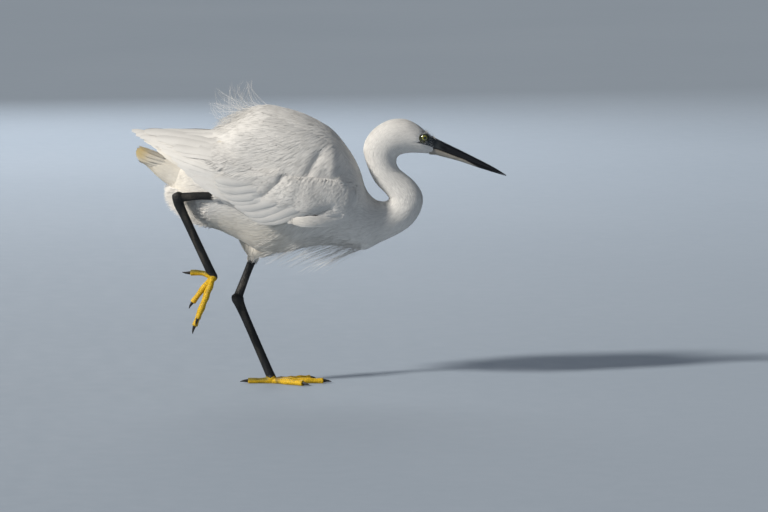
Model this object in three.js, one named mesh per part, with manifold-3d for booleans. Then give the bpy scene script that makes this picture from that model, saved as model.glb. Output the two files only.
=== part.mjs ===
// A little egret (Egretta garzetta) in a stalking pose: a life-size still model.
// It stands on its left leg and draws the right leg back.
// The neck is folded in an S and the bill points forward and down.
// Millimetres. +X points along the bill, +Y to the bird's left and +Z up.
// The origin is on the floor, in the middle of the standing foot's sole.
import * as THREE from "three";
import { mergeVertices } from "three/addons/utils/BufferGeometryUtils.js";
import Module from "manifold-3d";

const wasm = await Module();
wasm.setup();

// Driving dimensions
const GAP = 0.3; // clearance between neighbouring pieces
const CLEAR = 0.5; // growth of a piece that is cut out of its neighbour
const TRUNK_SIDES = 20; // corners of a section through body, neck or head
const LIMB_SIDES = 10; // corners of a section through a leg or toe
const VANE = 0.7; // thickness of a feather at its shaft
const VANE_EDGE = 0.5; // thickness of a feather at its edges
const SIDES = { left: 1, right: -1 };
const BILL_TIP = new THREE.Vector2(258, 230);
const EYE_RADIUS = 5.8;
const EYE_CENTRE = new THREE.Vector3(167.3, 7.5, 272.2);
const TARSUS_RADIUS = 4.7;
const HEEL_RADIUS = 6.7;
const LEG_NARROW = 0.8; // a leg's width seen from the front, as a share of that from the side
const TOE_RADIUS = 3.6;
const FOOT_RADIUS = 5.2;

// Body, neck and head as sections along one curved axis.
// Each row holds the upper edge's x and z, the lower edge's x and z, the half width,
// and how far the widest level is raised.
const TRUNK = [
  [-107, 228, -106, 208, 7, 0], // vent
  [-102, 240, -101, 198, 14, 0],
  [-92, 253, -90, 184, 23, 0],
  [-77, 266, -75, 175.5, 30, 0], // tail root
  [-57, 280, -57, 170, 35.5, 0.04],
  [-35, 296, -35, 159.5, 40.5, 0.08],
  [-10, 307, -10, 146, 43.5, 0.1], // top of the raised mantle
  [15, 304, 15, 146, 44.5, 0.1],
  [42, 295, 42, 152, 43, 0.08],
  [67, 280, 67, 153.5, 39, 0.05], // shoulder
  [86, 257, 86, 151, 32.5, 0],
  [97, 236, 97, 148.5, 27.5, 0],
  [104, 214, 105, 149, 24, 0], // breast
  [114, 203, 120, 156.5, 19.5, 0],
  [123, 201, 138, 165, 16.5, 0],
  [128.3, 202.5, 153, 175, 14.5, 0],
  [129.3, 205, 162.5, 188, 13.5, 0],
  [127.5, 208, 166.3, 201, 13, 0], // foot of the neck's S
  [123, 213, 164.5, 212, 12.5, 0],
  [117, 219, 157, 223, 12, 0],
  [111.5, 227, 148.5, 230.5, 12, 0],
  [107, 237, 141, 236.5, 12, 0],
  [103, 249, 137.5, 242.5, 12.5, 0],
  [101.3, 260, 137.5, 248.5, 13.5, 0], // nape
  [105, 271.5, 140.5, 252.3, 15, 0.05],
  [115, 283, 147, 254.5, 16.3, 0.08],
  [130, 291, 155, 255.2, 16.6, 0.08],
  [146, 292, 162, 255, 15.8, 0.05], // crown
  [158.5, 287, 168, 254.7, 14.2, 0],
  [168.5, 279.5, 173.3, 254.2, 11.6, 0], // eyes
  [176, 272.8, 178.2, 253.2, 8, 0], // bill base
];
const TORSO_END = 13;
const TORSO_STEPS = 19;
const NECK_LOWER_END = 17;
const NECK_MIDDLE_END = 20;
const HEAD_START = 23;
const HEAD_END = TRUNK.length - 1;

// The closed bill: x, culmen z, mouth line z, lower edge z and half width.
const BILL = [
  [178.5, 272, 260.7, 253.1, 6.8],
  [191, 265.8, 255.8, 249.9, 5.8],
  [207.5, 257.8, 249.4, 245.4, 4.6],
  [229.5, 246.8, 240.9, 237.9, 3.2],
  [246, 238, 234.6, 232.8, 2],
  [BILL_TIP.x, BILL_TIP.y + 0.5, BILL_TIP.y, BILL_TIP.y - 0.6, 0.6],
];

// The folded wing's core in side view: upper edge x and z, lower edge x and z, and thickness.
const WING = [
  [95, 214, 95, 205, 2.2], // wrist
  [90, 221, 91.5, 196, 5.6],
  [77, 228, 81, 187.5, 8.3],
  [55, 231.5, 63, 184, 9],
  [30, 233, 38, 189, 8.5],
  [5, 236, 10, 194, 7],
  [-20, 243, -20, 201, 5.5],
  [-45, 259, -48, 214, 4],
  [-65, 272, -68, 229, 3],
  [-80, 274, -84, 239, 2],
];

// Where the folded wings' roof runs back from the rump to the wing tips.
const ROOF_START_X = -40;
const ROOF_END_X = -153.5;
const ROOF_TOP_Z = 280;
const ROOF_HALF_WIDTH = 44;
const ROOF_TUCK = 0.45; // share of that width which is taken off towards the shoulder
const ROOF_TOP_TUCK = 0.62; // share of the rest which is taken off above the shoulder

// Materials
const plumage = new THREE.MeshStandardMaterial({ color: 0xf1eeea, roughness: 0.85 });
const blackHorn = new THREE.MeshStandardMaterial({ color: 0x1b1c1f, roughness: 0.4 });
const greyHorn = new THREE.MeshStandardMaterial({ color: 0x8d8a80, roughness: 0.5 });
const legSkin = new THREE.MeshStandardMaterial({ color: 0x17191c, roughness: 0.6 });
const toeSkin = new THREE.MeshStandardMaterial({ color: 0xe6b012, roughness: 0.55 });
const eyeGloss = new THREE.MeshStandardMaterial({ color: 0xb9b52a, roughness: 0.1 });
const clawHorn = new THREE.MeshStandardMaterial({ color: 0x2a2622, roughness: 0.4 });

const { lerp, clamp, degToRad } = THREE.MathUtils;

// A repeatable random number between low and high.
let seed = 7;
function draw(low, high) {
  seed = (seed * 1664525 + 1013904223) % 4294967296;
  return lerp(low, high, seed / 4294967296);
}

// The row at t, on a smooth curve through rows at equal steps.
function rowAt(rows, t) {
  const last = rows.length - 1;
  const i = clamp(Math.floor(t), 0, last - 1);
  const f = t - i;
  const near = (k) => rows[clamp(k, 0, last)];
  return rows[0].map((_, c) => {
    const [a, b, d, e] = [near(i - 1)[c], near(i)[c], near(i + 1)[c], near(i + 2)[c]];
    return b + 0.5 * f * (d - a + f * (2 * a - 5 * b + 4 * d - e + f * (3 * (b - d) + e - a)));
  });
}

// A closed body from a list of faces, as a solid.
function solid(points, faces) {
  const geometry = new THREE.BufferGeometry().setFromPoints(points);
  geometry.setIndex(faces);
  return solidOf(geometry);
}

// A three.js geometry as a solid, with its shared corners merged.
function solidOf(geometry) {
  const bare = geometry.clone();
  bare.deleteAttribute("normal");
  bare.deleteAttribute("uv");
  const merged = mergeVertices(bare, 1e-4);
  const triVerts = new Uint32Array(merged.index.array);
  const vertProperties = new Float32Array(merged.attributes.position.array);
  const made = new wasm.Manifold(new wasm.Mesh({ numProp: 3, vertProperties, triVerts }));
  if (made.volume() > 0) return made;
  for (let i = 0; i < triVerts.length; i += 3) {
    [triVerts[i + 1], triVerts[i + 2]] = [triVerts[i + 2], triVerts[i + 1]];
  }
  return new wasm.Manifold(new wasm.Mesh({ numProp: 3, vertProperties, triVerts }));
}

// A closed body through rings of equal numbers of points, with a fan at each end.
function loft(rings) {
  const n = rings[0].length;
  const points = rings.flat();
  const faces = [];
  for (let r = 0; r < rings.length - 1; r++) {
    for (let i = 0; i < n; i++) {
      const [a, b] = [r * n + i, r * n + ((i + 1) % n)];
      faces.push(a, b, b + n, a, b + n, a + n);
    }
  }
  for (const [ring, turned] of [[0, true], [rings.length - 1, false]]) {
    const hub = points.length;
    const sum = rings[ring].reduce((s, p) => s.add(p), new THREE.Vector3());
    points.push(sum.divideScalar(n));
    for (let i = 0; i < n; i++) {
      const [a, b] = [ring * n + i, ring * n + ((i + 1) % n)];
      faces.push(hub, turned ? b : a, turned ? a : b);
    }
  }
  return solid(points, faces);
}

// The largest body of several joined ones.
function fuse(pieces) {
  const bodies = wasm.Manifold.union(pieces).decompose();
  return bodies.reduce((best, b) => (b.volume() > best.volume() ? b : best));
}

// A point of the trunk's surface: along it by t, round it by angle a from the upper edge, grown outwards.
function trunkPoint(t, a, grow = 0) {
  const [topX, topZ, lowX, lowZ, half, raised] = rowAt(TRUNK, t);
  const reach = Math.hypot(topX - lowX, topZ - lowZ) / 2;
  const c = Math.cos(a);
  const level = (c + raised * (1 - c * c)) * (1 + grow / reach);
  return new THREE.Vector3(
    (topX + lowX) / 2 + ((topX - lowX) / 2) * level,
    (half + grow) * Math.sin(a),
    (topZ + lowZ) / 2 + ((topZ - lowZ) / 2) * level,
  );
}

function trunkPiece(from, to, steps, grow = 0) {
  const rings = [];
  for (let r = 0; r <= steps; r++) {
    const t = lerp(from, to, r / steps);
    rings.push(
      Array.from({ length: TRUNK_SIDES }, (_, i) =>
        trunkPoint(t, (i / TRUNK_SIDES) * 2 * Math.PI, grow),
      ),
    );
  }
  return loft(rings);
}

// The share of a trunk row that one gap takes at t, so that neighbouring pieces end a gap apart.
function gapAt(t) {
  const step = 0.01;
  const [a, b] = [trunkPoint(t - step, Math.PI / 2), trunkPoint(t + step, Math.PI / 2)];
  return (GAP * 2 * step) / a.distanceTo(b);
}

// The torso's half width at a place in side view, or 0 outside it.
function torsoY(x, z) {
  let [low, high] = [0, TORSO_END - 2];
  if (x < TRUNK[0][0] || x > TRUNK[high][0]) return 0;
  for (let k = 0; k < 24; k++) {
    const mid = (low + high) / 2;
    if (rowAt(TRUNK, mid)[0] < x) low = mid;
    else high = mid;
  }
  const [, topZ, , lowZ, half, raised] = rowAt(TRUNK, low);
  const level = (2 * z - topZ - lowZ) / (topZ - lowZ);
  const c = raised ? (1 - Math.sqrt(Math.max(0, 1 - 4 * raised * (level - raised)))) / (2 * raised) : level;
  return Math.abs(c) < 1 ? half * Math.sqrt(1 - c * c) : 0;
}

// How far a value has come from one end of a range to the other, eased at both ends.
function ramp(from, to, value) {
  return THREE.MathUtils.smoothstep(value, from, to);
}

// The surface that the folded wing's feathers lie on: its distance from the middle plane.
function sheetY(x, z) {
  const back = clamp((ROOF_START_X - x) / (ROOF_START_X - ROOF_END_X), 0, 1);
  const fall = lerp(45, 22, back);
  const down = clamp((ROOF_TOP_Z - z) / fall, 0, 1);
  const tuck = (1 - ROOF_TUCK * ramp(35, 105, x)) * (1 - ROOF_TOP_TUCK * ramp(45, 90, x) * ramp(226, 244, z));
  const half = ROOF_HALF_WIDTH * tuck;
  const roof = 1.5 + half * Math.cos(1.41 * back) * Math.sin((down * Math.PI) / 2);
  const side = torsoY(x, z) + 0.8;
  const blend = 3;
  return (side + roof + Math.hypot(side - roof, blend)) / 2;
}

// A point above the wing's resting surface on one side of the bird, with the surface's normal.
function onSheet(x, z, lift, side) {
  const step = 1.5;
  const slopeX = (sheetY(x + step, z) - sheetY(x - step, z)) / (2 * step);
  const slopeZ = (sheetY(x, z + step) - sheetY(x, z - step)) / (2 * step);
  const normal = new THREE.Vector3(-slopeX, 1, -slopeZ).normalize();
  const point = new THREE.Vector3(x, sheetY(x, z), z).addScaledVector(normal, lift);
  return { point: point.setY(point.y * side), normal: normal.setY(normal.y * side) };
}

// A thin blade through rows of left, middle and right points, thickest along the middle.
// Both faces are split into triangles alike.
function blade(rows) {
  const points = [];
  const faces = [];
  for (const { left, middle, right, thick, edge } of rows) {
    const corner = ({ point, normal }, up) => point.clone().addScaledVector(normal, up / 2);
    points.push(corner(left, edge), corner(middle, thick), corner(right, edge));
    points.push(corner(left, -edge), corner(middle, -thick), corner(right, -edge));
  }
  for (let r = 0; r < rows.length - 1; r++) {
    const [a, b] = [r * 6, r * 6 + 6];
    for (const c of [0, 1]) {
      faces.push(a + c, a + c + 1, b + c + 1, a + c, b + c + 1, b + c);
      faces.push(a + c + 4, a + c + 3, b + c + 4, b + c + 4, a + c + 3, b + c + 3);
    }
    faces.push(a + 3, a, b, a + 3, b, b + 3, a + 2, a + 5, b + 5, a + 2, b + 5, b + 2);
  }
  for (const [e, turned] of [[0, false], [(rows.length - 1) * 6, true]]) {
    for (const c of [0, 1]) {
      const quad = [e + c, e + c + 3, e + c + 4, e + c + 1];
      if (turned) quad.reverse();
      faces.push(quad[0], quad[1], quad[2], quad[0], quad[2], quad[3]);
    }
  }
  return solid(points, faces);
}

// A feather's width along its length, as a share of its greatest width.
function featherWidth(t) {
  const quill = lerp(0.45, 1, Math.min(1, t / 0.3));
  return quill * Math.sqrt(1 - 0.9 * t ** 6);
}

// A feather of the folded wing. Root and tip are places in side view, and bow is its sideways bend there.
// Lifts are its height over the resting surface at root and tip.
// Tilt raises its lower edge over the next feather.
function wingFeather({ root, tip, bow, width, lifts, rise = 0.45, tilt, side }) {
  const rows = [];
  const along = new THREE.Vector2().subVectors(tip, root);
  const across = new THREE.Vector2(-along.y, along.x).normalize();
  if (across.y < 0) across.negate();
  for (const t of [0, 0.35, 0.8, 1]) {
    const centre = root.clone().addScaledVector(along, t).addScaledVector(across, bow * 4 * t * (1 - t));
    const half = (width / 2) * featherWidth(t);
    const lift = lerp(lifts[0], lifts[1], t ** rise);
    const at = (share) => {
      const place = centre.clone().addScaledVector(across, half * share);
      return onSheet(place.x, place.y, lift - tilt * share, side);
    };
    rows.push({ left: at(1), middle: at(0), right: at(-1), thick: VANE, edge: VANE_EDGE });
  }
  return blade(rows);
}

// A tier of wing feathers from the lowest to the highest.
function tier({ count, roots, tips, bows, width, lifts, tilt, side }) {
  return Array.from({ length: count }, (_, i) => {
    const t = i / (count - 1);
    return wingFeather({
      root: new THREE.Vector2().lerpVectors(...roots, t),
      tip: new THREE.Vector2().lerpVectors(...tips, t),
      bow: lerp(...bows, t),
      width,
      lifts,
      tilt,
      side,
    });
  });
}

const at = (x, z) => new THREE.Vector2(x, z);

function wingCore(side) {
  const rings = [];
  const steps = 12;
  const corners = 10;
  for (let r = 0; r <= steps; r++) {
    const [topX, topZ, lowX, lowZ, thick] = rowAt(WING, lerp(0, WING.length - 1, r / steps));
    const ring = [];
    for (let i = 0; i < corners; i++) {
      const a = (i / corners) * 2 * Math.PI;
      const level = Math.cos(a) / 2 + 0.5;
      const out = Math.sin(a) > 0 ? thick * Math.sin(a) ** 0.8 : 3 * Math.sin(a);
      ring.push(onSheet(lerp(lowX, topX, level), lerp(lowZ, topZ, level), out, side).point);
    }
    rings.push(ring);
  }
  return loft(rings);
}

function wing(side) {
  const primaries = tier({
    count: 4,
    roots: [at(-52, 232), at(-50, 252)],
    tips: [at(-120, 256), at(-153.5, 281)],
    bows: [-1, 1],
    width: 14,
    lifts: [0.6, 1],
    tilt: 1,
    side,
  });
  const secondaries = tier({
    count: 7,
    roots: [at(-14, 208), at(-34, 251)],
    tips: [at(-64, 219), at(-134, 279)],
    bows: [-3, 8],
    width: 18,
    lifts: [1.5, 4],
    tilt: 1.1,
    side,
  });
  const greaterCoverts = tier({
    count: 6,
    roots: [at(48, 206), at(12, 243)],
    tips: [at(-17, 186), at(-60, 250)],
    bows: [-7, -1],
    width: 17,
    lifts: [2.5, 7.4],
    tilt: 1.1,
    side,
  });
  const medianCoverts = tier({
    count: 4,
    roots: [at(56, 210), at(36, 236)],
    tips: [at(16, 194), at(-20, 238)],
    bows: [-4, -1],
    width: 17,
    lifts: [2.5, 8.2],
    tilt: 1.1,
    side,
  });
  const alula = wingFeather({
    root: at(66, 197), tip: at(18, 181), bow: -2, width: 9, lifts: [3, 3.5], tilt: 0.3, side,
  });
  return fuse([wingCore(side), ...primaries, ...secondaries, ...greaterCoverts, ...medianCoverts, alula]);
}

// A tapered lock or plume along a bend from root to tip, flat across the direction given.
function lock({ root, bend, tip, across, width, thick, blunt = 0.25, steps = 4 }) {
  const path = new THREE.QuadraticBezierCurve3(root, bend, tip);
  const rings = [];
  for (let r = 0; r <= steps; r++) {
    const t = r / steps;
    const centre = path.getPoint(t);
    const tangent = path.getTangent(t);
    const side = across.clone().addScaledVector(tangent, -across.dot(tangent)).normalize();
    const normal = new THREE.Vector3().crossVectors(tangent, side);
    const taper = lerp(1, blunt, t * t);
    const corner = (out, up) =>
      centre.clone().addScaledVector(side, out * taper).addScaledVector(normal, up * lerp(1, 0.3, t));
    rings.push([corner(width / 2, 0), corner(0, thick / 2), corner(-width / 2, 0), corner(0, -thick / 2)]);
  }
  return loft(rings);
}

const Y_AXIS = new THREE.Vector3(0, 1, 0);
const point = (x, y, z) => new THREE.Vector3(x, y, z);

// Long scapular feathers that drape from the mantle over the wing's upper edge.
function scapulars(side) {
  const count = 5;
  return Array.from({ length: count }, (_, i) => {
    const t = i / (count - 1);
    return wingFeather({
      root: at(lerp(34, 74, t), lerp(290, 246, t)),
      tip: at(lerp(-68, -12, t), lerp(282, 229, t)),
      bow: lerp(4, -3, t),
      width: 20,
      lifts: [-3.4, lerp(6, 11.8, t)],
      rise: 0.28,
      tilt: 1.6,
      side,
    });
  });
}

// Loose breeding plumes that lift off the back and curl up at their tips.
function backPlumes() {
  const count = 8;
  return Array.from({ length: count }, (_, i) => {
    const share = i / (count - 1);
    const y = lerp(-19, 19, share);
    const curled = i % 3 === 1;
    const curl = curled ? draw(33, 36) : draw(0, 9);
    const root = point(draw(-4, 8), y * 0.6, 301 - Math.abs(y) * 0.2);
    const bend = point(draw(-42, -34), y, 306 - Math.abs(y) * 0.25);
    const back = curled ? draw(-62, -34) : draw(-70, -56);
    const tip = point(back, y * 1.1, 299 + curl - Math.abs(y) * 0.3);
    return lock({ root, bend, tip, across: Y_AXIS, width: 7, thick: 2.6, blunt: 0.15, steps: 3 });
  });
}

// Narrow plumes that hang back from the breast and the foot of the neck.
function breastPlumes() {
  const pieces = [];
  for (const [t, count] of [[9.6, 3], [10.8, 3], [12, 2]]) {
    for (let i = 0; i < count; i++) {
      const turn = lerp(-0.5, 0.5, i / (count - 1)) + draw(-0.05, 0.05);
      const root = trunkPoint(t + draw(-0.2, 0.2), Math.PI + turn, -4);
      const length = draw(48, 60);
      const tip = root.clone().add(point(-length, -root.y * 0.1, -length * draw(0.42, 0.56)));
      const bend = root.clone().lerp(tip, 0.5).add(point(0, 0, -4));
      pieces.push(lock({ root, bend, tip, across: Y_AXIS, width: 7, thick: 2.2, blunt: 0.15, steps: 3 }));
    }
  }
  return pieces;
}

// Soft tufts of the vent, broad and overlapping, which fan backwards under the tail.
function ventTufts() {
  const pieces = [];
  for (const [t, count, length] of [[0.7, 3, 15], [1.9, 4, 17]]) {
    for (let i = 0; i < count; i++) {
      const turn = lerp(0.66, 1.34, i / (count - 1)) * Math.PI;
      const root = trunkPoint(t, turn, -4);
      const out = trunkPoint(t, turn, 6).sub(root).normalize();
      const tip = root.clone().addScaledVector(out, 8).add(point(-length + draw(-2, 2), 0, 0));
      const bend = root.clone().lerp(tip, 0.5).addScaledVector(out, 2);
      const across = new THREE.Vector3().crossVectors(out, point(1, 0, 0));
      pieces.push(lock({ root, bend, tip, across, width: 18, thick: 3, steps: 3, blunt: 0.2 }));
    }
  }
  return pieces;
}

// A round limb through points with a radius at each, narrower sideways by the share given.
function limb({ points, radii, from = 0, to = 1, steps = 8, narrow = 1, sides = LIMB_SIDES }) {
  const path = new THREE.CatmullRomCurve3(points, false, "centripetal");
  const last = points.length - 1;
  const rings = [];
  for (let r = 0; r <= steps; r++) {
    const t = lerp(from, to, r / steps);
    const centre = path.getPoint(t);
    const tangent = path.getTangent(t);
    const side = Y_AXIS.clone().addScaledVector(tangent, -tangent.y).normalize();
    const up = new THREE.Vector3().crossVectors(side, tangent);
    const [radius] = rowAt(radii.map((v) => [v]), t * last);
    rings.push(
      Array.from({ length: sides }, (_, i) => {
        const a = (i / sides) * 2 * Math.PI;
        return centre
          .clone()
          .addScaledVector(side, radius * narrow * Math.cos(a))
          .addScaledVector(up, radius * Math.sin(a));
      }),
    );
  }
  return loft(rings);
}

const model = new THREE.Group();

function addNode(name, shape, material) {
  const { vertProperties, triVerts, numProp } = shape.getMesh();
  const places = new Float32Array((vertProperties.length / numProp) * 3);
  for (let i = 0; i < places.length; i++) {
    places[i] = vertProperties[Math.floor(i / 3) * numProp + (i % 3)];
  }
  const geometry = new THREE.BufferGeometry();
  geometry.setAttribute("position", new THREE.BufferAttribute(places, 3));
  geometry.setIndex(new THREE.BufferAttribute(triVerts, 1));
  geometry.computeVertexNormals();
  const mesh = new THREE.Mesh(geometry, material);
  mesh.name = name;
  model.add(mesh);
}

function ellipsoid(centre, radii, across = 12, down = 8) {
  const geometry = new THREE.SphereGeometry(1, across, down);
  geometry.scale(...radii).translate(centre.x, centre.y, centre.z);
  return solidOf(geometry);
}

// Head
function headSolid() {
  const pieces = [trunkPiece(HEAD_START + gapAt(HEAD_START), HEAD_END, 14)];
  for (const side of Object.values(SIDES)) {
    const lid = new THREE.TorusGeometry(5.1, 0.9, 5, 12);
    lid.rotateX(Math.PI / 2).rotateZ(-0.2 * side);
    lid.translate(EYE_CENTRE.x, side * (EYE_CENTRE.y + 2.9), EYE_CENTRE.z);
    pieces.push(solidOf(lid));
  }
  let head = fuse(pieces);
  for (const side of Object.values(SIDES)) {
    const radius = EYE_RADIUS + GAP;
    const socket = point(EYE_CENTRE.x, side * EYE_CENTRE.y, EYE_CENTRE.z);
    head = head.subtract(ellipsoid(socket, [radius, radius, radius]));
    // The line of the mouth runs back from the bill to the gape under the eye.
    const mouth = new THREE.BoxGeometry(18, 3, 0.8);
    mouth.rotateY(degToRad(21)).translate(171, side * 10.6, 263.4);
    head = head.subtract(solidOf(mouth));
  }
  return fuse([head]);
}

// Bill
function mandible(upper) {
  const rings = [];
  const steps = 12;
  const corners = 12;
  for (let r = 0; r <= steps; r++) {
    const [x, culmen, mouth, lower, half] = rowAt(BILL, lerp(0, BILL.length - 1, r / steps));
    const [flat, round] = upper ? [mouth + GAP / 2, culmen] : [mouth - GAP / 2, lower];
    const height = round - flat;
    rings.push(
      Array.from({ length: corners }, (_, i) => {
        const a = ((i + 0.5) / corners) * 2 * Math.PI;
        const up = Math.sin(a) > 0 ? Math.sin(a) : 0;
        const out = Math.sign(Math.cos(a)) * Math.abs(Math.cos(a)) ** 0.7;
        const inset = Math.sin(a) > 0 ? 1 : 0.8;
        return point(x, half * out * inset, flat + height * up);
      }),
    );
  }
  return loft(rings);
}

function upperMandible() {
  let shape = mandible(true);
  for (const side of Object.values(SIDES)) {
    const nostril = new THREE.SphereGeometry(1, 8, 6);
    nostril.scale(4.5, 1.2, 0.9).rotateY(degToRad(24)).translate(190, side * 5.3, 261);
    shape = shape.subtract(solidOf(nostril));
  }
  return fuse([shape]);
}

addNode("head", headSolid(), plumage);
addNode("bill_upper", upperMandible(), blackHorn);
addNode("bill_lower", mandible(false), greyHorn);
for (const [name, side] of Object.entries(SIDES)) {
  const centre = point(EYE_CENTRE.x, side * EYE_CENTRE.y, EYE_CENTRE.z);
  addNode(`eye_${name}`, ellipsoid(centre, [EYE_RADIUS, EYE_RADIUS, EYE_RADIUS]), eyeGloss);
}

// Neck
const neckCuts = [TORSO_END, NECK_LOWER_END, NECK_MIDDLE_END, HEAD_START];
["neck_lower", "neck_middle", "neck_upper"].forEach((name, i) => {
  addNode(name, trunkPiece(neckCuts[i] + gapAt(neckCuts[i]), neckCuts[i + 1], 7), plumage);
});

// Torso with its plumes, and the space that its neighbours leave for it
const torsoRoom = trunkPiece(0, TORSO_END, TORSO_STEPS, CLEAR);
addNode(
  "torso",
  fuse([
    trunkPiece(0, TORSO_END, TORSO_STEPS),
    ...scapulars(1),
    ...scapulars(-1),
    ...backPlumes(),
    ...breastPlumes(),
    ...ventTufts(),
  ]),
  plumage,
);

// Tail
function tail() {
  const core = limb({
    points: [point(-84, 0, 226), point(-103, 0, 233), point(-121, 0, 241), point(-136, 0, 249)],
    radii: [24, 17, 12, 4.5],
    narrow: 0.65,
    steps: 4,
  });
  const perSide = 4;
  const pieces = [core];
  for (let i = 0; i < perSide; i++) {
    const t = i / (perSide - 1);
    const turn = degToRad(lerp(14, 122, t));
    const tier = 1.5 * (perSide - 1 - i);
    for (const side of [1, -1]) {
      const normal = point(0, side * Math.sin(turn), Math.cos(turn));
      const across = point(0, side * Math.cos(turn), -Math.sin(turn));
      const root = point(-114, 6 * normal.y, 239 + 9 * normal.z);
      const tip = point(lerp(-151, -145, t), 8.5 * normal.y + 2.5 * side, 253.5 + 7 * normal.z);
      tip.addScaledVector(normal, tier);
      const rows = [0, 0.45, 0.85, 1].map((share) => {
        const centre = root.clone().lerp(tip, share);
        const half = 6.5 * featherWidth(share);
        const place = (out) => ({
          point: centre.clone().addScaledVector(across, out * half).addScaledVector(normal, out * 0.9),
          normal,
        });
        return { left: place(side), middle: place(0), right: place(-side), thick: 0.9, edge: VANE_EDGE };
      });
      pieces.push(blade(rows));
    }
  }
  return fuse(pieces);
}
addNode("tail", fuse([tail().subtract(torsoRoom)]), plumage);

// Legs
const legs = {
  left: {
    thigh: [point(16, 12, 182), point(-3, 14, 157)],
    thighRadii: [12, 14.5, 9, 6],
    shank: [point(-19.5, 10.5, 140), point(-28, 8.6, 119), point(-37.7, 5.5, 93.5)],
    axis: point(-38.7, 5.5, 95),
    foot: point(0, 0, 5.4),
  },
  right: {
    thigh: [point(-20, -31, 200), point(-38, -33, 206)],
    thighRadii: [15, 9, 6.6, 5.6],
    shank: [point(-57, -33, 210), point(-78, -32.5, 210.4), point(-101.7, -31.5, 208.4)],
    axis: point(-104.2, -31.5, 209),
    foot: point(-63.6, -30, 121),
  },
};

// The feathered thigh ends in a fringe that hangs round the bare shank.
function thigh({ thigh: path, thighRadii, shank }, grow = 0) {
  const along = new THREE.Vector3().subVectors(shank[1], shank[0]).normalize();
  const end = shank[0].clone().addScaledVector(along, grow - GAP);
  const above = end.clone().addScaledVector(along, -5);
  const core = limb({
    points: [...path, above, end],
    radii: thighRadii.map((radius) => radius + grow),
    steps: 6,
  });
  const sideways = Y_AXIS.clone().addScaledVector(along, -along.y).normalize();
  const up = new THREE.Vector3().crossVectors(sideways, along);
  const pieces = [core];
  const count = 6;
  for (let i = 0; i < count; i++) {
    const a = ((i + 0.5) / count) * 2 * Math.PI;
    const out = sideways.clone().multiplyScalar(Math.cos(a)).addScaledVector(up, Math.sin(a));
    const root = end.clone().addScaledVector(along, -6).addScaledVector(out, 4.4);
    const bend = end.clone().addScaledVector(out, 6.8 + grow);
    const tip = end.clone().addScaledVector(along, draw(8, 11)).addScaledVector(out, 5.4);
    const across = new THREE.Vector3().crossVectors(out, along);
    pieces.push(lock({ root, bend, tip, across, width: 7 + grow, thick: 1.8 + grow, steps: 2 }));
  }
  return fuse(pieces);
}

function tibia({ shank }, grow = 0) {
  const radii = [4.6, 4.4, 5.2].map((radius) => radius + grow);
  return limb({ points: shank, radii, narrow: LEG_NARROW, steps: 5 });
}

// The tarsus with the round heel at its upper end.
function tarsus({ shank, axis, foot }, grow = 0) {
  const heel = shank[2];
  const on = (share) => new THREE.Vector3().lerpVectors(axis, foot, share);
  const over = (share) => new THREE.Vector3().lerpVectors(heel, foot, share);
  const radii = [2.6, 5.4, HEEL_RADIUS, 5.5, TARSUS_RADIUS, 4.8, 5.2];
  return limb({
    points: [over(-0.064), over(-0.045), over(0.01), on(0.1), on(0.3), on(0.85), foot],
    radii: radii.map((radius) => radius + grow),
    narrow: LEG_NARROW,
    steps: 11,
  });
}

const floor = solidOf(new THREE.BoxGeometry(400, 400, 40).translate(0, 0, -20));

// A stretch of a toe: a bent tube with a swelling under each joint.
function toe(path, from, to, joints, grow = 0) {
  const steps = Math.max(2, joints * 2);
  const radii = [1, 1, 0.96, 0.96, 0.88].map((share) => share * TOE_RADIUS + grow);
  return limb({ points: path, radii, from, to, steps, sides: 8 });
}

function claw(from, along, length, droop) {
  const tip = from.clone().addScaledVector(along, length).add(point(0, 0, -droop));
  const bend = from.clone().addScaledVector(along, length * 0.6).add(point(0, 0, droop * 0.25));
  const path = new THREE.QuadraticBezierCurve3(from, bend, tip);
  const points = [0, 0.33, 0.66, 1].map((t) => path.getPoint(t));
  return limb({ points, radii: [1.9, 1.5, 0.9, 0.35], steps: 3, sides: 6 });
}

// The toes, from the hind toe to the outer one.
// Turn is in degrees from straight ahead towards the outer side.
// Fused is the share of the length that is part of the foot itself.
const TOES = {
  1: { turn: 180, length: 26, claw: 9, joints: 1, fused: 0.4 },
  2: { turn: -34, length: 42, claw: 8, joints: 2, fused: 0.34 },
  3: { turn: 0, length: 57, claw: 9, joints: 3, fused: 0.26 },
  4: { turn: 34, length: 50, claw: 8, joints: 4, fused: 0.3 },
};

// The raised foot's toes hang down.
// Each is given by its bend and end in side view and its spread to the left.
const HANGING = {
  1: { bend: [-76, 124.8], end: [-88.5, 125], spread: 5 },
  2: { bend: [-73, 109.5], end: [-86.2, 92], spread: 7.5 },
  3: { bend: [-69.5, 105], end: [-83.8, 67], spread: 0 },
  4: { bend: [-68.5, 106], end: [-80.2, 76], spread: -7.5 },
};

function standingPath({ foot }, { turn, length }) {
  const along = point(Math.cos(degToRad(turn)), Math.sin(degToRad(turn)), 0);
  const at = (share) => {
    const level = TOE_RADIUS * lerp(0.9, 0.74, share);
    return point(foot.x, foot.y, level).addScaledVector(along, length * share);
  };
  return [0, 0.25, 0.5, 0.75, 1].map(at);
}

function hangingPath({ foot }, { bend, end, spread }) {
  const middle = point(bend[0], foot.y + spread, bend[1]);
  const last = point(end[0], foot.y + spread * 1.2, end[1]);
  const curve = new THREE.CatmullRomCurve3([foot, middle, last]);
  return [0, 0.25, 0.5, 0.75, 1].map((t) => curve.getPointAt(t));
}

function toePaths(name, leg) {
  const path = (number) =>
    name === "left" ? standingPath(leg, TOES[number]) : hangingPath(leg, HANGING[number]);
  return Object.fromEntries(Object.keys(TOES).map((number) => [number, path(number)]));
}

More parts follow.
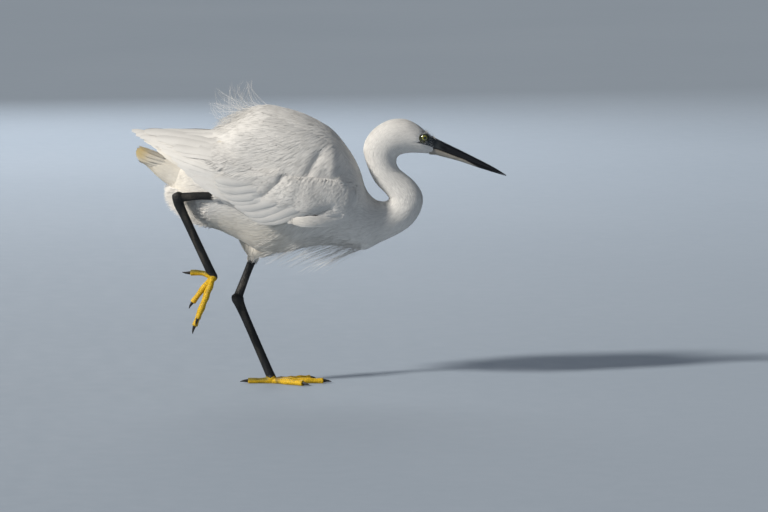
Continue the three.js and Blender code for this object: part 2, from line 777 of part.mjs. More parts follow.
function foot(leg, paths, grow = 0) {
  const radius = FOOT_RADIUS + grow;
  const pieces = [ellipsoid(leg.foot, [radius, radius, radius], 8, 6)];
  for (const [number, path] of Object.entries(paths)) {
    const { fused, length } = TOES[number];
    pieces.push(toe(path, 0, fused + (1.5 * grow) / length, 1, grow));
  }
  return fuse(pieces);
}

for (const [name, leg] of Object.entries(legs)) {
  const paths = toePaths(name, leg);
  addNode(`thigh_${name}`, fuse([thigh(leg).subtract(torsoRoom)]), plumage);
  addNode(`tibia_${name}`, fuse([tibia(leg).subtract(tarsus(leg, GAP)).subtract(torsoRoom)]), legSkin);
  addNode(`tarsus_${name}`, fuse([tarsus(leg).subtract(foot(leg, paths, GAP))]), legSkin);
  addNode(`foot_${name}`, fuse([foot(leg, paths).subtract(floor)]), toeSkin);
  for (const [number, path] of Object.entries(paths)) {
    const { length, claw: clawLength, fused, joints } = TOES[number];
    const shape = toe(path, fused - 0.05, 1, joints).subtract(foot(leg, paths, GAP));
    addNode(`toe_${name}_${number}`, fuse([shape.subtract(floor)]), toeSkin);
    const along = new THREE.Vector3().subVectors(path[4], path[3]).normalize();
    const root = path[4].clone().addScaledVector(along, GAP);
    const nail = claw(root, along, clawLength, name === "left" ? 1 : 0);
    addNode(`claw_${name}_${number}`, fuse([nail.subtract(floor)]), clawHorn);
  }
}

// Wings
for (const [name, side] of Object.entries(SIDES)) {
  addNode(`wing_${name}`, fuse([wing(side).subtract(torsoRoom).subtract(thigh(legs.right, CLEAR))]), plumage);
}

export default model;
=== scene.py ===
"""A little egret in a stalking pose, as a life-size still model: skin, plumage, bill, eyes and legs."""
import math

import bpy
import numpy as np
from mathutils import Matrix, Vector

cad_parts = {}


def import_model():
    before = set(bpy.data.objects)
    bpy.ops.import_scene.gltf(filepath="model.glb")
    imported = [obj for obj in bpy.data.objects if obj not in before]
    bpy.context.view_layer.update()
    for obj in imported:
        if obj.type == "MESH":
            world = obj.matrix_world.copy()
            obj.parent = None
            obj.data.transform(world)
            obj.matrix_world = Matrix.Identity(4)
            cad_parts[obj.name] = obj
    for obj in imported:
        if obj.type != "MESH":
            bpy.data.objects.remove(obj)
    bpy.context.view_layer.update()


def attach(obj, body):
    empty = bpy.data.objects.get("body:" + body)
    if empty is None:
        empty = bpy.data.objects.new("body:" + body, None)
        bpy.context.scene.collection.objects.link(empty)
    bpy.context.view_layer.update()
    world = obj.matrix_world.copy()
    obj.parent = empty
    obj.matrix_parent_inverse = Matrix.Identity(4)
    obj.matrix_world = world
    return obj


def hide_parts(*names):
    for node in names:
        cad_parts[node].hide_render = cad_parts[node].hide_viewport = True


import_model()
rng = np.random.default_rng(11)
MM = 0.001

# Body, neck and head in millimetres, as in the part's source. Each row holds the upper edge's x and z,
# the lower edge's x and z, the half width, and how far the widest level is raised.
TRUNK = np.array([
    [-107, 228, -106, 208, 7, 0],  # vent
    [-102, 240, -101, 198, 14, 0],
    [-92, 253, -90, 184, 23, 0],
    [-77, 266, -75, 175.5, 30, 0],  # tail root
    [-57, 280, -57, 170, 35.5, 0.04],
    [-35, 296, -35, 159.5, 40.5, 0.08],
    [-10, 307, -10, 146, 43.5, 0.1],  # top of the raised mantle
    [15, 304, 15, 146, 44.5, 0.1],
    [42, 295, 42, 152, 43, 0.08],
    [67, 280, 67, 153.5, 39, 0.05],  # shoulder
    [86, 257, 86, 151, 32.5, 0],
    [97, 236, 97, 148.5, 27.5, 0],
    [104, 214, 105, 149, 24, 0],  # breast
    [114, 203, 120, 156.5, 19.5, 0],
    [123, 201, 138, 165, 16.5, 0],
    [128.3, 202.5, 153, 175, 14.5, 0],
    [129.3, 205, 162.5, 188, 13.5, 0],
    [127.5, 208, 166.3, 201, 13, 0],  # foot of the neck's S
    [123, 213, 164.5, 212, 12.5, 0],
    [117, 219, 157, 223, 12, 0],
    [111.5, 227, 148.5, 230.5, 12, 0],
    [107, 237, 141, 236.5, 12, 0],
    [103, 249, 137.5, 242.5, 12.5, 0],
    [101.3, 260, 137.5, 248.5, 13.5, 0],  # nape
    [105, 271.5, 140.5, 252.3, 15, 0.05],
    [115, 283, 147, 254.5, 16.3, 0.08],
    [130, 291, 155, 255.2, 16.6, 0.08],
    [146, 292, 162, 255, 15.8, 0.05],  # crown
    [158.5, 287, 168, 254.7, 14.2, 0],
    [168.5, 279.5, 173.3, 254.2, 11.6, 0],  # eyes
    [176, 272.8, 178.2, 253.2, 8, 0],  # bill base
], float)
LAST = len(TRUNK) - 1
NECK = 13
NAPE = 23

# The closed bill: x, culmen z, mouth line z, lower edge z and half width.
BILL = np.array([
    [178.5, 272, 260.7, 253.1, 6.8],
    [191, 265.8, 255.8, 249.9, 5.8],
    [207.5, 257.8, 249.4, 245.4, 4.6],
    [229.5, 246.8, 240.9, 237.9, 3.2],
    [246, 238, 234.6, 232.8, 2],
    [258, 230.5, 230, 229.4, 0.6],
])

# The folded wing's core in side view: upper edge x and z, lower edge x and z, and thickness.
WING = np.array([
    [95, 214, 95, 205, 2.2],  # wrist
    [90, 221, 91.5, 196, 5.6],
    [77, 228, 81, 187.5, 8.3],
    [55, 231.5, 63, 184, 9],
    [30, 233, 38, 189, 8.5],
    [5, 236, 10, 194, 7],
    [-20, 243, -20, 201, 5.5],
    [-45, 259, -48, 214, 4],
    [-65, 272, -68, 229, 3],
    [-80, 274, -84, 239, 2],
])
# Soft folds and lobes of the wing and shoulder: start and end in side view, width and height.
RELIEF = (
    ((-9, 211), (11, 228), 4.5, -1.8),  # fold between the coverts and the long inner feathers
    ((16, 208), (24, 224), 6, 1.0),
    ((52, 254), (41, 236), 5.5, -3.0),  # fold behind the shoulder's lobe
    ((71, 262), (68, 240), 7, 2.0),
    ((64, 199), (24, 187), 3.5, -3.0),  # hollow over the alula
)
ROOF_START_X = -40
ROOF_END_X = -153.5
ROOF_TOP_Z = 280
ROOF_HALF_WIDTH = 44
ROOF_TUCK = 0.45  # share of that width which is taken off towards the shoulder
ROOF_TOP_TUCK = 0.62  # share of the rest which is taken off above the shoulder

EYE_CENTRE = np.array([167.3, 7.5, 272.2])
EYE_RADIUS = 5.8
IRIS_RADIUS = 3.8
PUPIL_RADIUS = 1.3
WHITE_OF_EYE = 6  # distance from the eye's axis at which its colours end
LEG_NARROW = 0.8
TOE_RADIUS = 3.6
FOOT_RADIUS = 5.4
HEEL_RADIUS = 6.7
TARSUS_RADIUS = 4.7
OVER_FLOOR = 0.02  # the lowest that the foot's skin and claws reach
SIDES = {"left": 1, "right": -1}
TURN = 2 * math.pi
UV_MARGIN = 0.02
UV_SPAN = 0.96
UV_SHORT = 0.9375  # share of the span that a loose piece takes
UV_PATCH = 0.0015  # half the size of one feather's patch in the map

# Colours in linear light
WHITE = np.array([0.86, 0.835, 0.79])
# The next colour is painted shade with warm reflected light, for the belly's underside
BELLY_SHADE_BEIGE = np.array([0.7, 0.63, 0.5])
CREAM = np.array([0.74, 0.65, 0.47])
STAIN = np.array([0.72, 0.55, 0.2])
UMBER = np.array([0.33, 0.27, 0.2])
LORE = np.array([0.05, 0.06, 0.07])
ORBIT = np.array([0.05, 0.055, 0.015])
BILL_BLACK = np.array([0.007, 0.008, 0.011])
BILL_PALE = np.array([0.29, 0.27, 0.235])
BILL_BASE = np.array([0.06, 0.068, 0.07])
LID_PALE = np.array([0.3, 0.31, 0.3])
LEG_BLACK = np.array([0.007, 0.008, 0.009])
# The next colour is a painted highlight on the leg's plates
LEG_HIGHLIGHT = np.array([0.09, 0.078, 0.062])
CLAW = np.array([0.02, 0.018, 0.016])
TOE_YELLOW = np.array([0.74, 0.45, 0.004])
TOE_OLIVE = np.array([0.1, 0.1, 0.008])


# Curves and surfaces
def ramp(low, high, x):
    """0 at low, 1 at high, smooth between."""
    f = np.clip((np.asarray(x, float) - low) / (high - low), 0, 1)
    return f * f * (3 - 2 * f)


def mix(low, high, share):
    """The value that lies a share of the way from low to high."""
    return low + (high - low) * share


def unit(v):
    return v / np.maximum(np.linalg.norm(v, axis=-1, keepdims=True), 1e-9)


def row_at(rows, t):
    """The rows at t, on a smooth curve through rows at equal steps."""
    rows = np.asarray(rows, float)
    last = len(rows) - 1
    t = np.clip(np.asarray(t, float), 0, last)
    i = np.clip(np.floor(t).astype(int), 0, last - 1)
    f = (t - i)[..., None]
    a, b, d, e = (rows[np.clip(i + k, 0, last)] for k in (-1, 0, 1, 2))
    return b + 0.5 * f * (d - a + f * (2 * a - 5 * b + 4 * d - e + f * (3 * (b - d) + e - a)))


def trunk_point(t, a, grow=0.0):
    """Points of the trunk's surface, along it by t, round it by the angle a from the upper edge."""
    top_x, top_z, low_x, low_z, half, raised = np.moveaxis(row_at(TRUNK, t), -1, 0)
    reach = np.hypot(top_x - low_x, top_z - low_z) / 2
    c = np.cos(a)
    level = (c + raised * (1 - c * c)) * (1 + grow / reach)
    x = (top_x + low_x) / 2 + (top_x - low_x) / 2 * level
    z = (top_z + low_z) / 2 + (top_z - low_z) / 2 * level
    return np.stack([x, (half + grow) * np.sin(a), z], -1)


def trunk_normal(t, a):
    low, high = np.clip(t - 0.05, 0, LAST), np.clip(t + 0.05, 0, LAST)
    along = trunk_point(high, a) - trunk_point(low, a)
    around = trunk_point(t, a + 0.02) - trunk_point(t, a - 0.02)
    return unit(np.cross(along, around))


def trunk_speed(t, a):
    """Millimetres per step of t, kept from vanishing inside the neck's bends."""
    low, high = np.clip(t - 0.1, 0, LAST), np.clip(t + 0.1, 0, LAST)
    here = np.linalg.norm(trunk_point(high, a) - trunk_point(low, a), axis=-1)
    axis = sum((trunk_point(high, side) - trunk_point(low, side)) / 2 for side in (0, math.pi))
    return np.maximum(here, 0.7 * np.linalg.norm(axis, axis=-1)) / (high - low)


TOP_T = np.linspace(0, 11, 400)
TOP_X = row_at(TRUNK, TOP_T)[:, 0]


def torso_y(x, z):
    """The torso's half width at a place in side view, or 0 outside it."""
    t = np.interp(x, TOP_X, TOP_T)
    _, top_z, _, low_z, half, raised = np.moveaxis(row_at(TRUNK, t), -1, 0)
    level = (2 * z - top_z - low_z) / (top_z - low_z)
    root = np.sqrt(np.maximum(0, 1 - 4 * raised * (level - raised)))
    c = np.where(raised > 1e-3, (1 - root) / np.maximum(2 * raised, 1e-6), level)
    inside = (np.abs(c) < 1) & (x > TOP_X[0]) & (x < TOP_X[-1])
    return np.where(inside, half * np.sqrt(np.maximum(0, 1 - c * c)), 0)


def relief(x, z):
    """The height of the soft folds and lobes at a place in side view."""
    total = 0
    for (ax, az), (bx, bz), width, height in RELIEF:
        dx, dz = bx - ax, bz - az
        share = np.clip(((x - ax) * dx + (z - az) * dz) / (dx * dx + dz * dz), 0, 1)
        total = total + height * np.exp(-((x - ax - share * dx) ** 2 + (z - az - share * dz) ** 2) / width**2)
    return total


def sheet_y(x, z):
    """The surface that the folded wing lies on: its distance from the middle plane."""
    back = np.clip((ROOF_START_X - x) / (ROOF_START_X - ROOF_END_X), 0, 1)
    fall = mix(45, 22, back)
    down = np.clip((ROOF_TOP_Z - z) / fall, 0, 1)
    tuck = (1 - ROOF_TUCK * ramp(35, 105, x)) * (1 - ROOF_TOP_TUCK * ramp(45, 90, x) * ramp(226, 244, z))
    roof = 1.5 + ROOF_HALF_WIDTH * tuck * np.cos(1.41 * back) * np.sin(down * math.pi / 2)
    side = torso_y(x, z) + 0.8
    return (side + roof + np.hypot(side - roof, 3)) / 2 + relief(x, z)


def wing_edges(x):
    """The lower and upper edge of the folded wing's core in side view."""
    rows = WING[::-1]
    return np.interp(x, rows[:, 2], rows[:, 3]), np.interp(x, rows[:, 0], rows[:, 1])


def core_height(x, z):
    """How far the wing's core stands out from the surface that it lies on."""
    low, top = wing_edges(x)
    level = np.clip((z - low) / (top - low), 0, 1)
    thick = np.interp(x, WING[::-1, 2], WING[::-1, 4])
    return thick * (4 * level * (1 - level)) ** 0.4


def shelf(x, z):
    """The height of the wing's outer feathers, which leave the core as thin blades."""
    core = core_height(x, z)
    blade = np.interp(x, [-90, -50, -20, 20, 70], [3.4, 4.6, 5.4, 6.2, 6.4])
    return (core + blade + np.sqrt((core - blade) ** 2 + 2)) / 2


def on_sheet(x, z, lift, side, form=None):
    """Points above the wing's resting surface on one side of the bird, with the normals of form over it."""

    def facing(height):
        step = 1.5
        slope_x = (height(x + step, z) - height(x - step, z)) / (2 * step)
        slope_z = (height(x, z + step) - height(x, z - step)) / (2 * step)
        return unit(np.stack([-slope_x, np.ones_like(slope_x), -slope_z], -1))

    normal = facing(sheet_y)
    point = np.stack([x, sheet_y(x, z), z], -1) + normal * np.asarray(lift)[..., None]
    if form is not None:
        normal = facing(lambda x, z: sheet_y(x, z) + form(x, z))
    mirror = np.array([1, side, 1])
    return point * mirror, normal * mirror


def limb_point(limb, t, a, grow=0.0):
    """Points of a round limb, along it by t from 0 to 1 and round it by a, and the normals there."""
    points, radii, narrow = limb
    last = len(points) - 1
    t = np.asarray(t, float)
    centre = row_at(points, t * last)
    behind, ahead = (row_at(points, np.clip(t + step, 0, 1) * last) for step in (-0.01, 0.01))
    tangent = unit(ahead - behind)
    sideways = unit(np.array([0, 1.0, 0]) - tangent * tangent[..., 1:2])
    up = np.cross(sideways, tangent)
    radius = (row_at(np.asarray(radii, float)[:, None], t * (len(radii) - 1))[..., 0] + grow)[..., None]
    c, s = np.cos(a)[..., None], np.sin(a)[..., None]
    point = centre + sideways * radius * narrow * c + up * radius * s
    return point, unit(sideways * c / narrow + up * s)


def ripple(x, y, seed):
    """A smooth unevenness between about -1 and 1 over two coordinates."""
    draw = np.random.default_rng(seed)
    total = 0
    for _ in range(6):
        turn, phase, rate = draw.uniform(0, 6.28), draw.uniform(0, 6.28), draw.uniform(0.6, 1.7)
        total = total + np.sin(rate * (x * math.cos(turn) + y * math.sin(turn)) + phase)
    return total / 3


# Markings and painted shade, the same for skin and coat
def plumage_tint(p):
    x, _, z = np.moveaxis(p, -1, 0)
    tint = np.broadcast_to(WHITE, p.shape).copy()
    # Painted shade and warm reflected light: the belly darker and beige towards its underside
    belly_shade = ramp(205, 165, z) * ramp(75, 10, x)
    tint = mix(tint, BELLY_SHADE_BEIGE, 0.55 * belly_shade[..., None])
    vent = ramp(-62, -92, x) * ramp(262, 240, z)
    tint = mix(tint, CREAM, 0.3 * vent[..., None])
    stain = np.exp(-((x + 47) / 5) ** 2 - ((z - 274) / 2.2) ** 2)
    return mix(tint, STAIN, 0.55 * stain[..., None])


def tinted(places, low, high):
    """The plumage's colours at places, each a little lighter or darker."""
    return plumage_tint(places) * rng.uniform(low, high, (len(places), 1))


def face_mask(p):
    """1 on the bare skin between the eye, the gape and the bill."""
    x, z = p[..., 0], p[..., 2]
    upper_edge = np.interp(x, [163, 168, 171, 175, 181], [271, 273.4, 275, 273, 269.6])
    lower_edge = np.interp(x, [158, 160, 166, 174, 178, 184], [267, 266.4, 265.1, 262.9, 260.9, 258.2])
    rear_edge = np.interp(z, [264, 267, 268.6, 270, 274], [158.2, 158.8, 163, 163.5, 165])
    return ramp(0.5, -0.5, z - upper_edge) * ramp(-0.4, 0.4, z - lower_edge) * ramp(-0.4, 0.4, x - rear_edge)


# Meshes
def mesh_object(name, verts, quads, tris, attributes=None, uv=None, normals=None):
    """A smooth mesh from arrays in millimetres, with attributes and a map given for each vertex."""
    mesh = bpy.data.meshes.new(name)
    loops = np.concatenate([quads.ravel(), tris.ravel()]).astype(np.int32)
    sizes = np.concatenate([np.full(len(quads), 4), np.full(len(tris), 3)])
    starts = np.concatenate([[0], np.cumsum(sizes)[:-1]]).astype(np.int32)
    mesh.vertices.add(len(verts))
    mesh.vertices.foreach_set("co", (verts * MM).astype(np.float32).ravel())
    mesh.loops.add(len(loops))
    mesh.loops.foreach_set("vertex_index", loops)
    mesh.polygons.add(len(sizes))
    mesh.polygons.foreach_set("loop_start", starts)
    mesh.update(calc_edges=True)
    mesh.polygons.foreach_set("use_smooth", np.ones(len(sizes), bool))
    for key, values in (attributes or {}).items():
        if values.shape[-1] == 3 and key == "Tint":
            layer = mesh.color_attributes.new(key, "FLOAT_COLOR", "POINT")
            rgba = np.concatenate([values, np.ones((len(values), 1))], 1)
            layer.data.foreach_set("color", rgba.astype(np.float32).ravel())
        else:
            layer = mesh.attributes.new(key, "FLOAT_VECTOR", "POINT")
            layer.data.foreach_set("vector", values.astype(np.float32).ravel())
    if uv is not None:
        layer = mesh.uv_layers.new(name="OFBake")
        layer.data.foreach_set("uv", uv[loops].astype(np.float32).ravel())
    if normals is not None:
        mesh.normals_split_custom_set_from_vertices(normals)
    obj = bpy.data.objects.new(name, mesh)
    bpy.context.scene.collection.objects.link(obj)
    return obj


def grid_faces(rows, columns, closed, first=0):
    """Quads over a grid of points, closed round its columns if asked, facing along x around."""
    r, c = np.meshgrid(np.arange(rows - 1), np.arange(columns if closed else columns - 1), indexing="ij")
    d = (c + 1) % columns
    quads = np.stack([r * columns + c, (r + 1) * columns + c, (r + 1) * columns + d, r * columns + d], -1)
    return quads.reshape(-1, 4) + first


def shell(points, flip=False):
    """A closed body through rings of points: its vertices, quads and end triangles."""
    rows, columns, _ = points.shape
    verts = np.concatenate([points.reshape(-1, 3), points[0].mean(0)[None], points[-1].mean(0)[None]])
    quads = grid_faces(rows, columns, True)
    c = np.arange(columns)
    d = (c + 1) % columns
    hub = rows * columns
    first = np.stack([np.full(columns, hub), c, d], -1)
    last = np.stack([np.full(columns, hub + 1), (rows - 1) * columns + d, (rows - 1) * columns + c], -1)
    tris = np.concatenate([first, last])
    if flip:
        quads, tris = quads[:, ::-1], tris[:, ::-1]
    return verts, quads, tris


NO_TRIS = np.zeros((0, 3), int)


class Batch:
    """Geometry of one kind, gathered as arrays."""

    def __init__(self, verts, quads, tris, **layers):
        self.verts, self.quads, self.tris, self.layers = verts, quads, tris, layers


def merged(bodies):
    """The vertices, quads and triangles of several bodies as one."""
    starts = np.cumsum([0] + [len(verts) for verts, _, _ in bodies])
    verts = np.concatenate([body[0] for body in bodies])
    quads, tris = (np.concatenate([body[k] + start for body, start in zip(bodies, starts)]) for k in (1, 2))
    return verts, quads, tris


def joined(name, batches, material):
    """One object from several batches, riding on the body."""
    layers = {key: np.concatenate([b.layers[key] for b in batches]) for key in batches[0].layers}
    uv, normals = layers.pop("uv", None), layers.pop("normals", None)
    obj = mesh_object(name, *merged([(b.verts, b.quads, b.tris) for b in batches]), layers, uv, normals)
    obj.data.materials.append(material)
    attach(obj, "root")
    return obj


def frames(paths, normals):
    """The tangent, across and up directions along paths."""
    tangent = unit(np.gradient(paths, axis=1))
    across = unit(np.cross(normals, tangent))
    return tangent, across, np.cross(tangent, across)


def patch(root_uv, across, along):
    """Map places of a small patch at each root, for corner offsets from -1 to 1."""
    return root_uv[:, None] + UV_PATCH * np.stack(np.broadcast_arrays(across, along), -1)


def copies(verts, quads, tris, **layers):
    """Like bodies as one batch, from each one's points, the faces they share and layers for each point."""
    count, per, _ = verts.shape
    stride = (np.arange(count) * per)[:, None, None]
    flat = {key: values.reshape(count * per, -1) for key, values in layers.items()}
    quads = (quads + stride).reshape(-1, 4)
    tris = (tris + stride).reshape(-1, 3)
    return Batch(verts.reshape(-1, 3), quads, tris, **flat)


def strand_faces(rings):
    """The quads and triangles of a three-sided strand that ends in a point."""
    r = np.arange(rings - 2)[:, None, None] * 3
    quads = r + np.array([[0, 3, 4, 1], [1, 4, 5, 2], [2, 5, 3, 0]])
    end, tip = 3 * (rings - 2), 3 * (rings - 1)
    tris = np.array([[end, tip, end + 1], [end + 1, tip, end + 2], [end + 2, tip, end], [0, 1, 2]])
    return quads.reshape(-1, 4), tris


def strands(paths, normals, width, thick, root_uv, tint, taper=None, round_off=0.25):
    """Closed, three-sided tapered strands along paths, whose normals lean out by round_off."""
    count, rings, _ = paths.shape
    tangent, across, up = frames(paths, normals)
    s = np.linspace(0, 1, rings)[:-1]
    shape = (1 - 0.75 * s**2) if taper is None else taper(s)
    width, thick = (np.broadcast_to(size, count)[:, None] for size in (width, thick))
    half = (width * shape / 2)[..., None]
    high = (thick * (1 - 0.6 * s))[..., None]
    body, a, u, f = paths[:, :-1], across[:, :-1], up[:, :-1], tangent[:, -1]
    corners = np.stack([body - a * half, body + u * high, body + a * half], 2).reshape(count, -1, 3)
    verts = np.concatenate([corners, paths[:, -1:]], 1)
    soft = np.stack([unit(u - a * round_off), u, unit(u + a * round_off)], 2).reshape(count, -1, 3)
    soft = np.concatenate([soft, unit(up[:, -1] + 0.3 * f)[:, None]], 1)
    offset_a = np.tile([-1.0, 0, 1], rings - 1)
    offset_s = np.repeat(2 * s - 1, 3)
    uv = patch(root_uv, np.append(offset_a, 0)[None], np.append(offset_s, 1)[None])
    tints = np.repeat(tint[:, None], verts.shape[1], 1)
    return copies(verts, *strand_faces(rings), uv=uv, normals=soft, Tint=tints, lay=np.zeros(verts.shape))


def outline_of(quill, full, blunt, power):
    """A feather's width along its length, as a share of its greatest: quill at the root, all from full on."""
    return lambda s: (quill + (1 - quill) * np.minimum(1, s / full)) * np.sqrt(1 - blunt * s**power)


BROAD = outline_of(0.45, 0.25, 0.93, 6)
LANCE = outline_of(0.4, 0.3, 0.97, 2.6)
TEARDROP = outline_of(0.5, 0.35, 0.97, 2.2)
ROUND_TIP = outline_of(0.45, 0.3, 0.96, 7)
VANE_S = np.array([0, 0.14, 0.3, 0.46, 0.62, 0.76, 0.87, 0.95, 1])
# tuck is the strength of the painted shade along each feather's hidden edge
VANE_SHAPE = {"thick": 0.4, "camber": 0.12, "lean": 0.0, "roll": 0.2, "tuck": 0.0}


def vane_faces(rows, columns):
    """The quads of a closed sheet: its upper face, its lower one and the rim between them."""
    layer = rows * columns
    face = grid_faces(rows, columns, False)
    rim = np.concatenate([
        np.arange(columns),
        np.arange(1, rows) * columns + columns - 1,
        (rows - 1) * columns + np.arange(columns - 2, -1, -1),
        np.arange(rows - 2, 0, -1) * columns,
    ])
    ahead = np.roll(rim, -1)
    sides = np.stack([rim, ahead, ahead + layer, rim + layer], -1)
    return np.concatenate([face, face[:, ::-1] + layer, sides])


def vanes(paths, normals, width, root_uv, tint, outline=BROAD, low=1, **shape):
    """Closed cambered feathers with a raised shaft, along paths with the rows of VANE_S.

    The edge on the side of low lies over the next feather: lean raises it, and tuck paints shade along the
    other one, the edge that hides under the next feather.
    Roll turns the normals outwards at both edges.
    """
    thick, camber, lean, roll, tuck = ({**VANE_SHAPE, **shape}[key] for key in VANE_SHAPE)
    count, rows, _ = paths.shape
    s, columns = VANE_S, 7
    _, across, up = frames(paths, normals)
    c = np.linspace(-1, 1, columns)
    half = np.broadcast_to(width, count)[:, None] * outline(s)[None] / 2
    ragged = 1 + 0.05 * rng.standard_normal((count, rows, 2))
    ragged[:, 0] = 1
    reach = np.where(c[None, None] < 0, ragged[..., :1], ragged[..., 1:]) * half[..., None] * c
    shaft = 0.35 * np.exp(-((c / 0.12) ** 2)) * (1 - s[:, None])
    drop = half[..., None] * (camber * c**2 - lean * low * c)
    across, up = across[:, :, None], up[:, :, None]
    top = paths[:, :, None] + across * reach[..., None] + up * (shaft - drop)[..., None]
    wall = thick * (1 - 0.6 * c**2) * (1 - 0.5 * s[:, None])
    bottom = top - up * wall[None, ..., None]
    layer = rows * columns
    verts = np.concatenate([top.reshape(count, layer, 3), bottom.reshape(count, layer, 3)], 1)
    lift = unit(up + across * (c * roll)[None, None, :, None])
    soft = np.concatenate([lift.reshape(count, layer, 3), -lift.reshape(count, layer, 3)], 1)
    offset_a = np.tile(c, rows)
    offset_s = np.repeat(2 * s - 1, columns)
    uv = patch(root_uv, np.tile(offset_a, 2)[None], np.tile(offset_s, 2)[None])
    length = np.linalg.norm(np.diff(paths, axis=1), axis=2).sum(1)
    lay = np.zeros((count, 2, rows, columns, 3))
    lay[..., 0] = (length[:, None] * s)[:, None, :, None]
    lay[..., 1] = reach[:, None]
    lay[..., 2] = rng.uniform(0, 50, count)[:, None, None, None]
    tints = tint if tint.ndim == 3 else np.repeat(tint[:, None], rows, 1)
    # Painted shade: tuck darkens each feather's hidden edge, where the next feather would shade it
    tucked_edge_shade = 1 - tuck * ramp(0.4, -0.9, c * low)
    tints = (tints[:, :, None] * tucked_edge_shade[:, None]).reshape(count, layer, 3)
    tints = np.concatenate([tints, tints], 1)
    lay = lay.reshape(count, -1, 3)
    return copies(verts, vane_faces(rows, columns), NO_TRIS, uv=uv, normals=soft, Tint=tints, lay=lay)


# Paths for feathers
def trunk_paths(t, a, length, drift, heights):
    """Paths that run back over the trunk, with a height over its surface for each of their rings."""
    s = np.linspace(0, 1, heights.shape[1])
    speed = trunk_speed(t, a)
    ts = t[:, None] - length[:, None] * s / speed[:, None]
    turn = a[:, None] + drift[:, None] * s**1.3
    points = trunk_point(ts, turn, heights)
    over = np.maximum(0, -ts) * speed[:, None]
    points = points + over[..., None] * np.array([-0.95, 0, 0.12])
    return points, trunk_normal(np.clip(ts, 0, LAST), turn)


def sheet_paths(root, tip, bow, heights, side, s, late=1.0, form=None):
    """Paths over the folded wing's resting surface.

    heights gives the lift from s, x and z, and late moves the bow towards the tip.
    """
    along = tip - root
    across = unit(np.stack([-along[:, 1], along[:, 0]], -1))
    across = across * np.where(across[:, 1:] < 0, -1, 1)
    peak = late / (late + 1)
    bend = (bow[:, None] * s**late * (1 - s) / (peak**late * (1 - peak)))[..., None]
    place = root[:, None] + along[:, None] * s[:, None] + across[:, None] * bend
    x, z = place[..., 0], place[..., 1]
    return on_sheet(x, z, heights(s, x, z), side, form)


def rising(low, high, rise):
    """Lifts that grow from the root's to the tip's."""
    low, high = (np.asarray(v, float).reshape(-1, 1) for v in (low, high))
    return lambda s, x, z: mix(low, high, s**rise)


def hugging(extra):
    """Lifts that keep close over the wing's outer surface, from a buried root."""
    extra = np.asarray(extra, float).reshape(-1, 1)
    return lambda s, x, z: shelf(x, z) + extra - 2.4 * (1 - s) ** 2


def flow_paths(start, reach, way, rings):
    """Places in side view along a direction field, from each start over each reach."""
    place = [start]
    for _ in range(rings - 1):
        x, z = place[-1].T
        turn = np.radians(way(x, z))
        place.append(place[-1] - np.stack([np.cos(turn), np.sin(turn)], -1) * (reach / (rings - 1))[:, None])
    return np.stack(place, 1)


def bend_paths(root, bend, tip, rings):
    """Free curved paths from root to tip."""
    s = np.linspace(0, 1, rings)[None, :, None]
    return (1 - s) ** 2 * root[:, None] + 2 * s * (1 - s) * bend[:, None] + s**2 * tip[:, None]


def limb_paths(limb, t, a, length, heights, span):
    """Paths along a limb towards its far end. span is the limb's length."""
    s = np.linspace(0, 1, heights.shape[1])
    ts = t[:, None] + length[:, None] * s / span
    points, normals = limb_point(limb, np.minimum(ts, 1), np.broadcast_to(a[:, None], ts.shape), heights)
    over = (np.maximum(0, ts - 1) * span)[..., None]
    end = unit(limb[0][-1] - limb[0][-2])
    return points + over * end, normals


def uv_at(across, along):
    """Places in the map, inside its margin, from shares across and along it."""
    return np.stack([UV_MARGIN + UV_SPAN * across, UV_MARGIN + UV_SPAN * along], -1)


def uv_of(t, a):
    """Places in the map for the trunk, along it by t and round it by a."""
    return uv_at((a % TURN) / TURN, t / LAST)


def plume_uv(y, along):
    """Places in the map for loose plumes, from their place across the back."""
    return np.stack([0.5 + y / 60, along], -1)


def uv_side(x, z):
    """Places in the map for places in side view."""
    return uv_at((x + 170) / 290, (z - 150) / 160)


# Materials
class Look:
    """A node material while it is built. Sockets are named with _ for a blank."""

    def __init__(self, name, **values):
        self.material = bpy.data.materials.new(name)
        self.material.use_nodes = True
        self.tree = self.material.node_tree
        self.shader = self.tree.nodes["Principled BSDF"]
        self.feed(self.shader, **values)

    def feed(self, node, **values):
        """Links outputs to a node's sockets, or sets numbers on them."""
        for key, value in values.items():
            self.connect(node.inputs[key.replace("_", " ")], value)
        return node

    def connect(self, socket, value):
        if isinstance(value, bpy.types.NodeSocket):
            self.tree.links.new(value, socket)
        else:
            socket.default_value = value

    def node(self, kind, **values):
        return self.feed(self.tree.nodes.new(kind), **values)

    def attribute(self, name, output):
        made = self.node("ShaderNodeAttribute")
        made.attribute_name = name
        return made.outputs[output]

    def noise(self, scale, detail=3, stretch=(1, 1, 1), vector=None):
        if vector is None:
            vector = self.node("ShaderNodeTexCoord").outputs["Object"]
        mapped = self.node("ShaderNodeMapping", Scale=stretch, Vector=vector).outputs["Vector"]
        return self.node("ShaderNodeTexNoise", Scale=scale, Detail=detail, Vector=mapped).outputs["Fac"]

    def spread(self, value, low, high, start=0.3, end=0.7):
        """The value's range from start to end, stretched to that from low to high."""
        limits = {"From_Min": start, "From_Max": end, "To_Min": low, "To_Max": high}
        return self.node("ShaderNodeMapRange", Value=value, **limits).outputs["Result"]

    def shade(self, colour, factor):
        """The colour times a factor."""
        made = self.node("ShaderNodeVectorMath")
        made.operation = "SCALE"
        self.connect(made.inputs[0], colour)
        self.connect(made.inputs["Scale"], factor)
        return made.outputs["Vector"]

    def math(self, operation, *values):
        made = self.node("ShaderNodeMath")
        made.operation = operation
        for socket, value in zip(made.inputs, values):
            self.connect(socket, value)
        return made.outputs[0]

    def bump(self, height, strength, distance):
        made = self.node("ShaderNodeBump", Strength=strength, Distance=distance, Height=height)
        self.feed(self.shader, Normal=made.outputs["Normal"])


